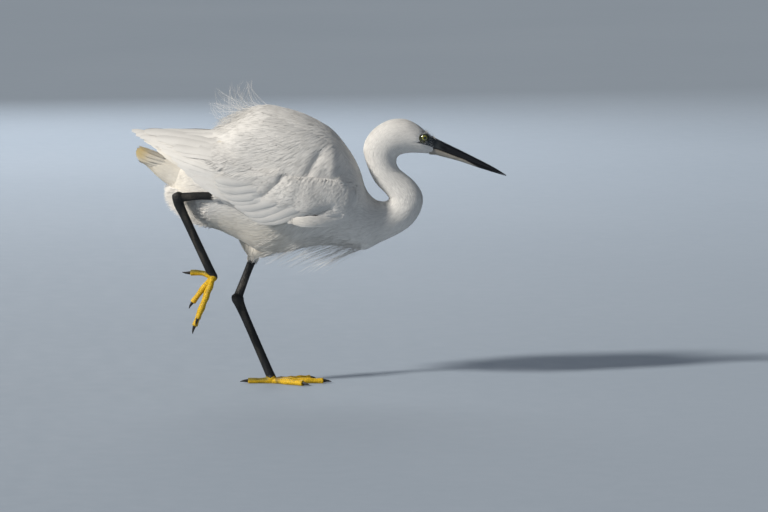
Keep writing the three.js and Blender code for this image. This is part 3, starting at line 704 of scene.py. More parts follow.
def plumage_material(name, barbs):
    """White feather, with barbs that run slantwise from the shaft where a feather carries them."""
    look = Look(name, Sheen_Weight=0.15, Sheen_Roughness=0.4, Specular_IOR_Level=0.3)
    colour = look.shade(look.attribute("Tint", "Color"), look.spread(look.noise(55, 4), 0.95, 1.03))
    height = look.noise(900, 2)
    strength, depth = 0.3, 0.0003
    if barbs:
        split = look.node("ShaderNodeSeparateXYZ", Vector=look.attribute("lay", "Vector"))
        along, across, own = split.outputs
        slant = look.math("SUBTRACT", along, look.math("MULTIPLY", look.math("ABSOLUTE", across), 1.4))
        uneven = look.math("MULTIPLY", look.noise(120), 9)
        phase = look.math("ADD", look.math("MULTIPLY", slant, 7.5), uneven)
        wave = look.math("SINE", look.math("ADD", phase, own))
        colour = look.shade(colour, look.spread(wave, 0.975, 1.0, -1, 1))
        height = look.math("ADD", look.math("MULTIPLY", wave, 0.5), height)
        strength, depth = 0.2, 0.0002
    look.feed(look.shader, Base_Color=colour, Roughness=look.spread(look.noise(160), 0.62, 0.82))
    look.bump(height, strength, depth)
    return look.material


def bare_material(name, roughness, scale, depth, light, **sockets):
    """Bare skin in its tint, with small plates or wrinkles over its own layout, painted shade in their
    grooves and a painted highlight on their centres.
    """
    look = Look(name, **sockets)
    lay = look.attribute("lay", "Vector")
    plates = look.node("ShaderNodeTexVoronoi", Scale=scale, Randomness=0.55, Vector=lay)
    plates.feature = "DISTANCE_TO_EDGE"
    edge = look.spread(plates.outputs["Distance"], 0, 1, 0.0, 0.16)
    cloud = look.spread(look.noise(260, 4), 1 - light, 1 + light)
    colour = look.shade(look.attribute("Tint", "Color"), cloud)
    # Painted shade in the grooves between the plates and a painted highlight on their centres
    colour = look.shade(colour, look.spread(edge, 0.55, 1.1, 0, 1))
    look.feed(look.shader, Base_Color=colour, Roughness=look.spread(look.noise(500), *roughness))
    look.bump(edge, 0.6, depth)
    return look.material


def horn_material(name):
    """Horn with fine streaks along it."""
    look = Look(name, Specular_IOR_Level=0.35)
    streaks = look.noise(1.4, 3, (0.05, 1, 1), look.attribute("lay", "Vector"))
    colour = look.shade(look.attribute("Tint", "Color"), look.spread(streaks, 0.7, 1.35))
    look.feed(look.shader, Base_Color=colour, Roughness=look.spread(streaks, 0.36, 0.56))
    look.bump(streaks, 0.35, 0.0003)
    return look.material


def eye_material():
    """Yellow-green iris round a black pupil under a clear glossy surface.

    The layout's x is the distance from the eye's axis.
    """
    look = Look("eye_gloss", Roughness=0.06, Coat_Weight=1.0, Coat_Roughness=0.02)
    lay = look.attribute("lay", "Vector")
    black = (0.001, 0.001, 0.001)
    stops = [
        (0, black),
        (PUPIL_RADIUS, black),
        (PUPIL_RADIUS + 0.25, (0.1, 0.1, 0.015)),
        (PUPIL_RADIUS + 0.6, (0.3, 0.29, 0.05)),
        (IRIS_RADIUS - 1.3, (0.27, 0.27, 0.045)),
        (IRIS_RADIUS - 0.8, (0.06, 0.065, 0.018)),
        (IRIS_RADIUS - 0.1, (0.02, 0.024, 0.01)),
        (IRIS_RADIUS + 0.1, (0.003, 0.004, 0.003)),
    ]
    split = look.node("ShaderNodeSeparateXYZ", Vector=lay)
    colours = look.node("ShaderNodeValToRGB", Fac=look.math("DIVIDE", split.outputs[0], WHITE_OF_EYE))
    ring = colours.color_ramp.elements
    for i, (place, rgb) in enumerate(stops):
        element = ring[i] if i < 2 else ring.new(place / WHITE_OF_EYE)
        element.position = place / WHITE_OF_EYE
        element.color = (*rgb, 1)
    spokes = look.spread(look.noise(3, 2, (0.4, 2.5, 1), lay), 0.7, 1.2)
    look.feed(look.shader, Base_Color=look.shade(colours.outputs["Color"], spokes))
    return look.material


down = plumage_material("down_feather", barbs=False)
feather = plumage_material("vaned_feather", barbs=True)
scutes = bare_material("leg_scutes", (0.4, 0.58), 0.42, 0.00035, 0.3, Specular_IOR_Level=0.38)
toe_scutes = bare_material("toe_scutes", (0.42, 0.6), 0.5, 0.0003, 0.12, Specular_IOR_Level=0.45)
face_skin = bare_material("bare_face", (0.4, 0.6), 0.9, 0.0002, 0.25, Specular_IOR_Level=0.45)
horn = horn_material("bill_horn")
claw_horn = horn_material("claw_horn")
eye_gloss = eye_material()


def plumage(name, *batches, look=down):
    """Feathers as one object."""
    return joined(name, batches, look)


def with_layers(verts, quads, tris, tint, lay=None):
    """A batch with one tint and a layout, without a map."""
    if tint.ndim == 1:
        tint = np.broadcast_to(tint, verts.shape)
    return Batch(verts, quads, tris, Tint=np.array(tint), lay=verts.copy() if lay is None else lay)


# Legs, as in the part's source
LEGS = {
    "left": {
        "thigh": [[16, 12, 182], [-3, 14, 157]],
        "thigh_radii": [12, 14.5, 9, 6],
        "shank": [[-19.5, 10.5, 140], [-28, 8.6, 119], [-37.7, 5.5, 93.5]],
        "axis": [-38.7, 5.5, 95],
        "foot": [0, 0, 5.4],
    },
    "right": {
        "thigh": [[-20, -31, 200], [-38, -33, 206]],
        "thigh_radii": [15, 9, 6.6, 5.6],
        "shank": [[-57, -33, 210], [-78, -32.5, 210.4], [-101.7, -31.5, 208.4]],
        "axis": [-104.2, -31.5, 209],
        "foot": [-63.6, -30, 121],
    },
}
# The toes, from the hind toe to the outer one. Turn is in degrees from straight ahead towards the outer side.
TOES = {
    1: {"turn": 180, "length": 26, "claw": 9, "joints": 1},
    2: {"turn": -34, "length": 42, "claw": 8, "joints": 2},
    3: {"turn": 0, "length": 57, "claw": 9, "joints": 3},
    4: {"turn": 34, "length": 50, "claw": 8, "joints": 4},
}
# The raised foot's toes hang down: each one's bend and end in side view, and its spread to the left.
HANGING = {
    1: ((-76, 124.8), (-88.5, 125), 5),
    2: ((-73, 109.5), (-86.2, 92), 7.5),
    3: ((-69.5, 105), (-83.8, 67), 0),
    4: ((-68.5, 106), (-80.2, 76), -7.5),
}
SHANK_RADII = [4.6, 4.4, 5.2]
TOE_RADII = [TOE_RADIUS * share for share in (1, 1, 0.96, 0.96, 0.88)]


def toe_path(name, number):
    foot = np.array(LEGS[name]["foot"], float)
    if name == "left":
        turn = math.radians(TOES[number]["turn"])
        along = np.array([math.cos(turn), math.sin(turn), 0])
        shares = np.linspace(0, 1, 5)
        path = foot + along * TOES[number]["length"] * shares[:, None]
        path[:, 2] = TOE_RADIUS * (0.9 - 0.16 * shares)
        return path
    bend, end, spread_out = HANGING[number]
    middle = np.array([bend[0], foot[1] + spread_out, bend[1]])
    last = np.array([end[0], foot[1] + spread_out * 1.2, end[1]])
    fine = row_at(np.array([foot, middle, last]), np.linspace(0, 2, 60))
    reach = np.concatenate([[0], np.cumsum(np.linalg.norm(np.diff(fine, axis=0), axis=1))])
    return np.stack([np.interp(np.linspace(0, reach[-1], 5), reach, fine[:, k]) for k in range(3)], -1)


def tube(limb, steps, sides, start=0.0, end=1.0, swell=None):
    t = np.linspace(start, end, steps + 1)[:, None]
    a = np.linspace(0, TURN, sides, endpoint=False)[None]
    grow = 0 if swell is None else swell(t)
    t, a = np.broadcast_arrays(t, a)
    points, _ = limb_point(limb, t, a, grow + np.zeros(t.shape))
    return shell(points, flip=True)


def tarsus_limb(leg):
    heel, axis, foot = (np.array(v, float) for v in (leg["shank"][2], leg["axis"], leg["foot"]))
    points = [mix(heel, foot, share) for share in (-0.064, -0.045, 0.01)]
    points += [mix(axis, foot, share) for share in (0.1, 0.3, 0.85, 1)]
    return np.array(points), [2.6, 5.4, HEEL_RADIUS, 5.5, TARSUS_RADIUS, 4.8, 5.2], LEG_NARROW


def nearest(points, path):
    """For each point, the arc length of the nearest place on a path, the distance, and the angle round it."""
    reach = np.concatenate([[0], np.cumsum(np.linalg.norm(np.diff(path, axis=0), axis=1))])
    best = np.full(len(points), np.inf)
    index = np.zeros(len(points), int)
    for k, q in enumerate(path):
        d = np.linalg.norm(points - q, axis=1)
        closer = d < best
        best[closer], index[closer] = d[closer], k
    tangent = unit(np.gradient(path, axis=0))[index]
    off = points - path[index]
    sideways = unit(np.array([0, 1.0, 0]) - tangent * tangent[:, 1:2])
    up = np.cross(sideways, tangent)
    angle = np.arctan2((off * sideways).sum(1), (off * up).sum(1))
    return reach[index] + (off * tangent).sum(1), best, angle


def remeshed(name, shells, voxel, smooth):
    """Several closed shells grown into one smooth skin: its points and faces in millimetres."""
    obj = mesh_object(name, *merged(shells))
    grown = obj.modifiers.new("grown", "REMESH")
    grown.mode = "VOXEL"
    grown.voxel_size = voxel * MM
    eased = obj.modifiers.new("eased", "SMOOTH")
    eased.factor, eased.iterations = 0.5, smooth
    made = obj.evaluated_get(bpy.context.evaluated_depsgraph_get()).to_mesh()
    points = np.zeros(len(made.vertices) * 3, np.float32)
    made.vertices.foreach_get("co", points)
    faces = np.array([p.vertices[:] for p in made.polygons if len(p.vertices) == 4])
    bpy.data.objects.remove(obj)
    return points.reshape(-1, 3).astype(float) / MM, faces


def leg_shells(name):
    """Shank, heel, tarsus, the ball of the foot and the toes as closed bodies that overlap."""
    leg = LEGS[name]
    turn, drop = np.meshgrid(np.linspace(0, TURN, 20, endpoint=False), np.linspace(0.1, math.pi - 0.1, 14))
    ball = np.stack([np.sin(drop) * np.cos(turn), np.sin(drop) * np.sin(turn), np.cos(drop)], -1)
    shells = [
        tube((np.array(leg["shank"], float), SHANK_RADII, LEG_NARROW), 40, 24),
        tube(tarsus_limb(leg), 90, 28),
        shell(np.array(leg["foot"], float) + FOOT_RADIUS * 0.96 * ball),
    ]
    for number, toe in TOES.items():

        def pads(t, joints=toe["joints"]):
            return 0.35 * np.cos(t * joints * TURN) - 0.2

        shells.append(tube((toe_path(name, number), TOE_RADII, 1), 60, 20, swell=pads))
    return shells


def leg_markings(name, points):
    """The colours of a leg's skin, the layout of its plates, and 1 where it is toe."""
    leg = LEGS[name]
    foot = np.array(leg["foot"], float)
    heel_limb = tarsus_limb(leg)
    shank_line = row_at(leg["shank"], np.linspace(0, 1.9, 60))
    bone = np.concatenate([shank_line, row_at(heel_limb[0], np.linspace(2, 6, 90))])
    reach, off, angle = nearest(points, bone)
    lay = np.stack([reach / 1.15, angle * 4.2, np.zeros(len(points))], -1)
    tint = np.broadcast_to(LEG_BLACK, points.shape).copy()
    # Painted highlight: patchy paler brown-grey on the leg's sides, where its plates would catch the light
    highlight_patches = 0.5 + 0.5 * ripple(reach / 6, angle * 2, 5)
    front = ramp(0.2, 1, np.abs(np.sin(angle))) * ramp(0.45, 0.95, highlight_patches)
    tint = mix(tint, LEG_HIGHLIGHT, (0.5 * front)[:, None])
    best = off.copy()
    toe = np.zeros(len(points))
    for number in TOES:
        fine = row_at(toe_path(name, number), np.linspace(0.35, 4, 70))
        toe_reach, toe_off, toe_angle = nearest(points, fine)
        toe_reach = toe_reach + 0.0875 * TOES[number]["length"]
        here = (toe_off < best + 0.6) & (toe_off < 6)
        best[here] = toe_off[here]
        toe[here] = 1
        lay[here] = np.stack([toe_reach, toe_angle * 3.2, np.full(len(points), 9.0 * number)], -1)[here]
        dark = ramp(0.3, 1.0, ripple(toe_reach / 3, toe_angle, number + 20)) * 0.25
        if number == 1:
            dark = np.maximum(dark, ramp(1.9, 0.9, np.abs(toe_angle)) * ramp(1, 7, toe_reach) * 0.85)
        tint[here] = mix(TOE_YELLOW, TOE_OLIVE, dark[:, None])[here]
    near_joint = np.linalg.norm(points - foot, axis=1)
    upper = mix(foot, np.array(leg["axis"], float), 0.12)
    black = ramp(7.5, 5.5, np.linalg.norm(points - upper, axis=1)) * ramp(3, 7, near_joint)
    ahead = (points - foot) @ np.array([0.9, 0, 0.45])
    cap = ramp(1.5, 4.5, ahead) * ramp(15, 9, near_joint) * (1 if name == "right" else 0.6)
    share = np.clip(np.maximum(black, cap), 0, 1)[:, None]
    return mix(tint, LEG_BLACK, share), lay, toe


def leg_skin(name):
    """Tibia, heel, tarsus and toes as one bare skin: black leg, yellow toes, plates in rows."""
    points, faces = remeshed(f"leg_{name}", leg_shells(name), voxel=0.62, smooth=4)
    points[:, 2] = np.maximum(points[:, 2], OVER_FLOOR)
    tint, lay, toe = leg_markings(name, points)
    batch = with_layers(points, faces, NO_TRIS, tint, lay)
    leg_object = joined(f"leg_{name}", [batch], scutes)
    leg_object.data.materials.append(toe_scutes)
    yellow = toe[faces].mean(1) > 0.5
    leg_object.data.polygons.foreach_set("material_index", yellow.astype(np.int32))
    nodes = [f"tibia_{name}", f"tarsus_{name}", f"foot_{name}"] + [f"toe_{name}_{n}" for n in TOES]
    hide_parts(*nodes)


def claws(name):
    """The curved nails of one foot."""
    root_inset = 1.2
    parts = []
    for number in TOES:
        path = toe_path(name, number)
        along = unit(path[4] - path[3])
        root = path[4] - along * root_inset
        length = TOES[number]["claw"] + root_inset
        sag = np.array([0, 0, -1.0])
        if name == "right":
            sag = np.cross(along, [0, 1.0, 0]) * (-1 if number == 1 else 1)
        tip = root + along * length + sag * 0.9
        bend = root + along * length * 0.55 - sag * 0.5
        curve = bend_paths(root[None], bend[None], tip[None], 14)[0]
        curve[:, 2] = np.maximum(curve[:, 2], 0.9 * (1 - np.linspace(0, 1, 14)) + 0.45)
        verts, quads, tris = tube((curve, [2.0, 1.75, 1.3, 0.85, 0.3], 0.75), 26, 14)
        verts[:, 2] = np.maximum(verts[:, 2], OVER_FLOOR)
        parts.append(with_layers(verts, quads, tris, CLAW))
    nails = joined(f"claws_{name}", parts, claw_horn)
    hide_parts(*[f"claw_{name}_{n}" for n in TOES])


for side_name in SIDES:
    leg_skin(side_name)
    claws(side_name)


# Skin under the plumage
def coat_depth(t):
    return np.interp(t, [0, 10, NECK, NAPE, LAST - 2, LAST], [1.8, 1.8, 1.2, 0.8, 0.5, 0.2])


def thigh_limb(leg):
    end, below = np.array(leg["shank"][:2], float)
    above = end - 5 * unit(below - end)
    return np.array([*leg["thigh"], above, end], float), leg["thigh_radii"], 1


TAIL_CORE = (
    np.array([[-84, 0, 226], [-103, 0, 233], [-121, 0, 241], [-136, 0, 249]], float),
    [24, 17, 12, 4.5],
    0.65,
)


def wing_ring(u, level_angle, extra):
    """Places on the wing core's faces, as side-view x and z and lift over its resting surface."""
    top_x, top_z, low_x, low_z, thick = np.moveaxis(row_at(WING, u), -1, 0)
    level = np.cos(level_angle) / 2 + 0.5
    rise = np.sin(level_angle)
    out = np.where(rise > 0, thick * np.abs(rise) ** 0.8 + extra, 3 * rise)
    return mix(low_x, top_x, level), mix(low_z, top_z, level), out


def feathered_skin():
    t = np.concatenate([np.linspace(0, 26, 230), np.linspace(26.05, LAST, 150)])[:, None]
    a = np.linspace(0, TURN, 120, endpoint=False)[None]
    t, a = np.broadcast_arrays(t, a)
    shells = [shell(trunk_point(t, a, -coat_depth(t)), flip=True)]
    for leg in LEGS.values():
        points, radii, narrow = thigh_limb(leg)
        shells.append(tube((points, [r - 1 for r in radii], narrow), 40, 32))
    points, radii, narrow = TAIL_CORE
    shells.append(tube((points, [r - 1.5 for r in radii], narrow), 40, 32))
    u = np.linspace(0.05, len(WING) - 1, 60)[:, None]
    turn = np.linspace(0, TURN, 40, endpoint=False)[None]
    u, turn = np.broadcast_arrays(u, turn)
    for side in SIDES.values():
        x, z, out = wing_ring(u, turn, -0.8)
        shells.append(shell(on_sheet(x, z, out, side)[0], flip=side < 0))
    batches = []
    for v, q, f in shells:
        tint = plumage_tint(v)
        bare = face_mask(v)[:, None] * (np.abs(v[:, 1:2]) > 1)
        mottled = LORE * (1 + 0.7 * ripple(v[:, 0] / 0.7, v[:, 2] / 0.5, 31))[:, None]
        tint = mix(tint, mottled, bare)
        from_eye = np.hypot(v[:, 0] - EYE_CENTRE[0], v[:, 2] - EYE_CENTRE[2])
        near_eye = ramp(5.8, 5.0, from_eye)[:, None] * (np.abs(v[:, 1:2]) > 3)
        batches.append(with_layers(v, q, f, mix(tint, ORBIT, near_eye)))
    skin = plumage("skin", *batches)
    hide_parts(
        "head", "neck_lower", "neck_middle", "neck_upper", "torso", "tail", "wing_left", "wing_right"
    )
    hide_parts("thigh_left", "thigh_right")


feathered_skin()


# Small feathers over the trunk
def trunk_roots(start, end, along, around):
    """Places in offset, jittered rows over the trunk. along and around are spacings in millimetres at t."""
    ts, angles = [], []
    t, row = start, 0
    while t < end:
        ring_a = np.linspace(0, TURN, 97)
        ring = trunk_point(np.full(97, t), ring_a)
        reach = np.concatenate([[0], np.cumsum(np.linalg.norm(np.diff(ring, axis=0), axis=1))])
        count = int(reach[-1] / around(t))
        place = (np.arange(count) + 0.5 * (row % 2) + rng.uniform(-0.4, 0.4, count)) / count
        step = along(t) / float(np.max(trunk_speed(np.full(9, t), np.linspace(0, math.pi, 9))))
        angles.append(np.interp((place % 1) * reach[-1], reach, ring_a))
        ts.append(t + rng.uniform(-0.6, 0.6, count) * step)
        t, row = t + step, row + 1
    return np.clip(np.concatenate(ts), 0, LAST), np.concatenate(angles)


def under_wing(p):
    """1 where the folded wing or the scapulars hide the body's own small feathers."""
    x, y, z = np.moveaxis(p, -1, 0)
    top = np.interp(x, [-72, -60, -20, 30, 75, 88], [262, 256, 238, 229, 228, 218])
    low = np.interp(x, [-72, -60, -20, 30, 75, 88], [250, 240, 214, 200, 200, 212])
    return (z < top) & (z > low) & (x > -72) & (x < 86) & (np.abs(y) > 8)


def wrist_rise(x, z):
    """How far the breast's side feathers stand out where they lap the front of the folded wing."""
    low, top = wing_edges(np.minimum(x, 92))
    ahead = np.interp(x, [62, 78, 88, 92, 96, 101, 106], [0, 9.4, 7.6, 5.8, 3.6, 1.2, 0])
    return ahead * ramp(low - 9, low + 3, z) * ramp(top + 9, top - 2, z)


def body_coat():
    t, a = trunk_roots(
        0.05,
        LAST - 0.15,
        lambda t: np.interp(t, [0, 9, NECK, NAPE, LAST], [2.5, 2.5, 1.8, 1.4, 1.1]),
        lambda t: np.interp(t, [0, 9, NECK, NAPE, LAST], [2.1, 2.1, 1.6, 1.3, 1.0]),
    )
    root = trunk_point(t, a)
    eye_distance = np.hypot(root[:, 0] - EYE_CENTRE[0], root[:, 2] - EYE_CENTRE[2])
    keep = ~under_wing(root) & (face_mask(root) < 0.5) & (eye_distance > 5.3)
    t, a, root = t[keep], a[keep], root[keep]
    length = np.interp(t, [0, 3, 8, 12, 15, 19, NAPE, 27, LAST], [20, 22, 21, 17, 13, 10, 8, 5.5, 3])
    width = np.interp(t, [0, 8, 13, 19, NAPE, 27, LAST], [2.6, 2.7, 2.2, 1.7, 1.4, 1.1, 0.7])
    length = np.minimum(length * rng.uniform(0.8, 1.2, len(t)), 5 + 11 * t)
    width = width * rng.uniform(0.8, 1.25, len(t))
    sway = ripple(t * 2.2, a * 5, 3) * np.interp(t, [0, 12, NAPE, LAST], [0.16, 0.14, 0.1, 0.06])
    side_fall = np.sin(a) * np.interp(t, [0, 4, 7, 8.5, 12, 13.5], [0.0, 0.12, 0.2, 0.5, 0.55, 0.1])
    perimeter_turn = np.interp(t, [0, 3, 8, 12, 15, LAST], [25, 60, 75, 60, 25, 18])
    drift = (sway + side_fall) * length / perimeter_turn * 2 + rng.normal(0, 0.02, len(t))
    s = np.linspace(0, 1, 4)
    depth = coat_depth(t)[:, None]
    proud = np.interp(t, [0, 12, NECK, NAPE, LAST], [0.8, 0.6, 0.3, 0.22, 0.12])
    top = (proud * rng.uniform(0.4, 1.4, len(t)))[:, None]
    buried = 0.75 * depth + 0.2
    heights = -buried + (buried + top) * s**0.7
    paths, normals = trunk_paths(t, a, length, drift, heights)
    lap = wrist_rise(paths[..., 0], paths[..., 2]) * (0.3 + 0.7 * ramp(0, 0.5, s)) * (t < 13)[:, None]
    paths[..., 1] += np.sign(root[:, 1:2]) * ramp(8, 16, np.abs(root[:, 1:2])) * lap
    aft = (0.7 * ramp(2.8, 0.6, t) * (root[:, 2] > 205))[:, None, None]
    normals = unit(normals * (1 - aft) + aft * np.array([0.0, 1.0, 0.1]) * np.sign(root[:, 1])[:, None, None])
    tint = tinted(root, 0.88, 1.03)
    uv = uv_of(t, a)
    thick = np.interp(t, [0, 12, NECK, NAPE, LAST], [0.55, 0.45, 0.3, 0.3, 0.2])
    groups = {"coat_body": t < 7.2, "coat_breast": (t >= 7.2) & (t < NECK), "coat_neck": t >= NECK}
    for name, chosen in groups.items():
        own = (layer[chosen] for layer in (paths, normals, width, thick, uv, tint))
        batch = strands(*own)
        plumage(name, batch)


body_coat()


# Folded wings
def sheet_vanes(roots, tips, bows, width, heights, side, late=1.0, form=None, **shape):
    paths, normals = sheet_paths(roots, tips, bows, heights, side, VANE_S, late, form)
    tint = tinted(paths[:, 3], 0.98, 1)
    uv = uv_side(roots[:, 0], roots[:, 1])
    return vanes(paths, normals, width, uv, tint, low=-side, **shape)


def tier(count, roots, tips, bows, width, heights, side, jitter=0.6, **options):
    """A tier of wing feathers from the lowest to the highest, each a little different."""
    t = np.linspace(0, 1, count)
    root = np.array(roots[0]) * (1 - t[:, None]) + np.array(roots[1]) * t[:, None]
    stops = np.linspace(0, 1, len(tips))
    tip = np.stack([np.interp(t, stops, [place[k] for place in tips]) for k in (0, 1)], -1)
    tip = tip + rng.normal(0, jitter, (count, 2))
    bow = bows[0] * (1 - t) + bows[1] * t
    own = 0.25 * (np.arange(count) % 2)
    if isinstance(heights, tuple):
        heights = rising(np.full(count, heights[0]), heights[1] + own, 0.45)
    else:
        heights = hugging(heights + own)
    return sheet_vanes(root, tip, bow, width, heights, side, **options)


def covert_way(x, z):
    """How far below straight back the small coverts point, in degrees: steep over the wing's front."""
    low, top = wing_edges(x)
    level = np.clip((z - low) / (top - low), 0, 1)
    steep = np.interp(x, [-40, -20, 0, 15, 30, 60, 75, 90], [4, 14, 28, 38, 44, 52, 62, 74])
    return steep * np.clip(0.1 + 1.15 * level, 0, 1)


def small_coverts(side, count, length, width, thick, proud):
    """Short soft feathers over the wing's core and rim, and in thin rows over the longer coverts' roots."""
    x = rng.uniform(-24, 94, count)
    inner = np.clip(x, -24, 92)
    low, top = wing_edges(inner)
    z = low + (top - low) * rng.uniform(0.03, 1.0, count) + rng.uniform(0, 3.5, count) * (1 + ramp(30, 60, x))
    keep = rng.uniform(0, 1, count) < 0.12 + 0.88 * ramp(-14, 34, x + 0.35 * (z - 215))
    start = np.stack([x, z], -1)[keep]
    kept = len(start)
    place = flow_paths(start, length * rng.uniform(0.85, 1.2, kept), covert_way, 5)
    x, z = place[..., 0], place[..., 1]
    s = np.linspace(0, 1, 5)
    held = np.maximum(core_height(x, z), core_height(x[:, :1], z[:, :1]) * (1 - 0.3 * s))
    over_roots = 0.9 * ramp(52, 40, x) * ramp(-30, -5, x)
    wave = 0.3 * ripple(start[:, 0] / 3.6, start[:, 1] / 9, 12)
    own = proud * rng.uniform(0.4, 1.2, kept) + wave
    lift = held - 1.1 + (1.1 + own[:, None] + over_roots) * s**0.6
    paths, normals = on_sheet(x, z, lift, side, core_height)
    tint = tinted(paths[:, 2], 0.88, 1)
    wide = width * rng.uniform(0.8, 1.25, kept)
    return strands(paths, normals, wide, thick, uv_side(*start.T), tint)


def alula_barbs(side, count):
    """Soft barbs over the small bundle of feathers at the wing's lower front."""
    t = rng.uniform(0, 1, count)
    middle = np.stack([84 - 54 * t, 189.5 - 6.5 * t - 2.2 * np.sin(math.pi * t)], -1)
    start = middle + np.stack([np.zeros(count), rng.uniform(-4.6, 7.0, count) * (1 - 0.55 * t)], -1)
    place = flow_paths(start, rng.uniform(9, 14, count), lambda x, z: 4 - 6 * ramp(60, 25, x), 5)
    s = np.linspace(0, 1, 5)
    share = ramp(84, 24, place[..., 0])
    across = np.abs(place[..., 1] - np.interp(place[..., 0], [18, 40, 60, 84], [182.7, 182.2, 184.5, 189.5]))
    proud = rng.uniform(0, 0.3, count)[:, None]
    lift = 4.3 + 2.8 * share**0.45 + (1.1 + proud) * s**0.6 - 0.05 * across**2
    lift = np.maximum(lift, core_height(place[..., 0], place[..., 1]) + 0.2 + 0.5 * s)
    paths, normals = on_sheet(place[..., 0], place[..., 1], lift, side)
    tint = tinted(paths[:, 1], 0.95, 1)
    return strands(paths, normals, rng.uniform(1.0, 1.9, count), 0.2, uv_side(*start.T), tint)


def wing_feathers(name, side):
    """The folded wing's tiers, from the primaries up to the long curved coverts and the small ones."""
    # tuck sets the painted shade along each feather's hidden edge
    flight = {"lean": 0.035, "camber": 0.05, "tuck": 0.14, "roll": 0.25}
    silky = {"lean": 0.11, "camber": 0.06, "late": 2.0, "form": shelf, "roll": 0.4, "tuck": 0.22}
    trailing = [(-64, 221.5), (-79.5, 227.5), (-98, 243.5), (-119, 261.5), (-136, 268.5), (-148, 275)]
    inner = [(-98, 256), (-138, 275.5)]
    covert_tips = [(-24, 189.5), (-32, 197), (-40, 203), (-48.5, 210), (-55, 217), (-59, 224), (-60, 231)]
    longest = [(-16, 184.5), (-19.5, 187)]
    primary_tips = [(-118, 256), (-152.5, 279.5)]
    alula_tips = [(18.5, 182.5), (27, 181.5)]
    batches = [
        tier(6, [(-52, 230), (-50, 252)], primary_tips, (-1, 1), 10, (0.3, 0.8), side, **flight),
        tier(13, [(-14, 208), (-34, 249)], trailing, (-4, 6), 15, (1.0, 3.0), side, **flight),
        tier(5, [(-26, 248), (-42, 262)], inner, (2, 1.5), 15, (2.2, 4.0), side, **flight),
        tier(3, [(-32, 266), (-38, 275)], [(-106, 271), (-134, 276)], (2, 1), 11, (1.2, 3.4), side, **flight),
        tier(10, [(42, 211), (8, 234)], covert_tips, (-6, -2), 14, 0.4, side, 0.5, **silky),
        tier(2, [(60, 210), (54, 215)], longest, (-5.5, -5), 15, 0.6, side, 0.3, outline=LANCE, **silky),
        tier(2, [(82, 188), (84, 190)], alula_tips, (-2.4, -2), 12, (4.6, 7.8), side, 0.2, outline=TEARDROP),
    ]
    plumage(f"wing_feathers_{name}", *batches, look=feather)
    plumage(
        f"wing_coverts_{name}",
        small_coverts(side, 3000, 15, 2.1, 0.3, 0.5),
        small_coverts(side, 1500, 9, 1.4, 0.25, 0.8),
        alula_barbs(side, 340),
    )


for side_name, side_sign in SIDES.items():
    wing_feathers(side_name, side_sign)


def ridge():
    """Small feathers along the line where the two folded wings meet over the rump and the tail."""
    count = 1500
    x = rng.uniform(-136, -40, count)
    y = rng.uniform(-6.5, 6.5, count)
    s = np.linspace(0, 1, 4)
    reach = rng.uniform(9, 14, count)
    px = x[:, None] - reach[:, None] * s
    top = np.interp(px, [-152, -110, -74, -52, -40], [277.5, 278.4, 279.2, 282, 290])
    pz = top - 0.07 * (y * y)[:, None] - 1 + (1 + rng.uniform(0.1, 0.5, count))[:, None] * s**0.7
    paths = np.stack([px, y[:, None] * (1 - 0.3 * s), pz], -1)
    normals = np.broadcast_to(unit(np.stack([0 * y - 0.1, 0.12 * y, 0 * y + 1], -1))[:, None], paths.shape)
    tint = tinted(paths[:, 0], 0.94, 1.01)
    uv = plume_uv(y, 0.1 + (x + 136) / 1000)
    batch = strands(paths, normals, rng.uniform(1.2, 2.2, count), 0.25, uv, tint)
    plumage("ridge", batch)


ridge()


# Scapulars: long, soft feathers that drape from the mantle over the wing's upper edge
def scapular_way(x, z):
    """How far below straight back the scapulars point, in degrees: steeper at the shoulder."""
    return 7 + 0.36 * np.clip(284 - z, 0, 60) + 24 * ramp(-20, 62, x) * ramp(292, 262, z)


def mantle_roof(x):
    return np.interp(x, [-50, -35, -10, 15, 42, 67, 88], [275, 287, 297, 294, 285, 271, 250])


def mantle_height(x, z):
    """The height of the scapulars over the wing's resting surface, down to nothing at their edges."""
    over_wing = 2.6 * ramp(-8, -40, x) * ramp(-92, -46, x) * ramp(288, 270, z)
    over_coverts = (shelf(x, z) - 1.8) * ramp(242, 233, z) * ramp(16, 4, x) * ramp(-70, -40, x)
    fade = ramp(-1, 13, mantle_roof(x) - z) * ramp(88, 62, x)
    return (2.2 + np.maximum(over_wing, over_coverts)) * fade


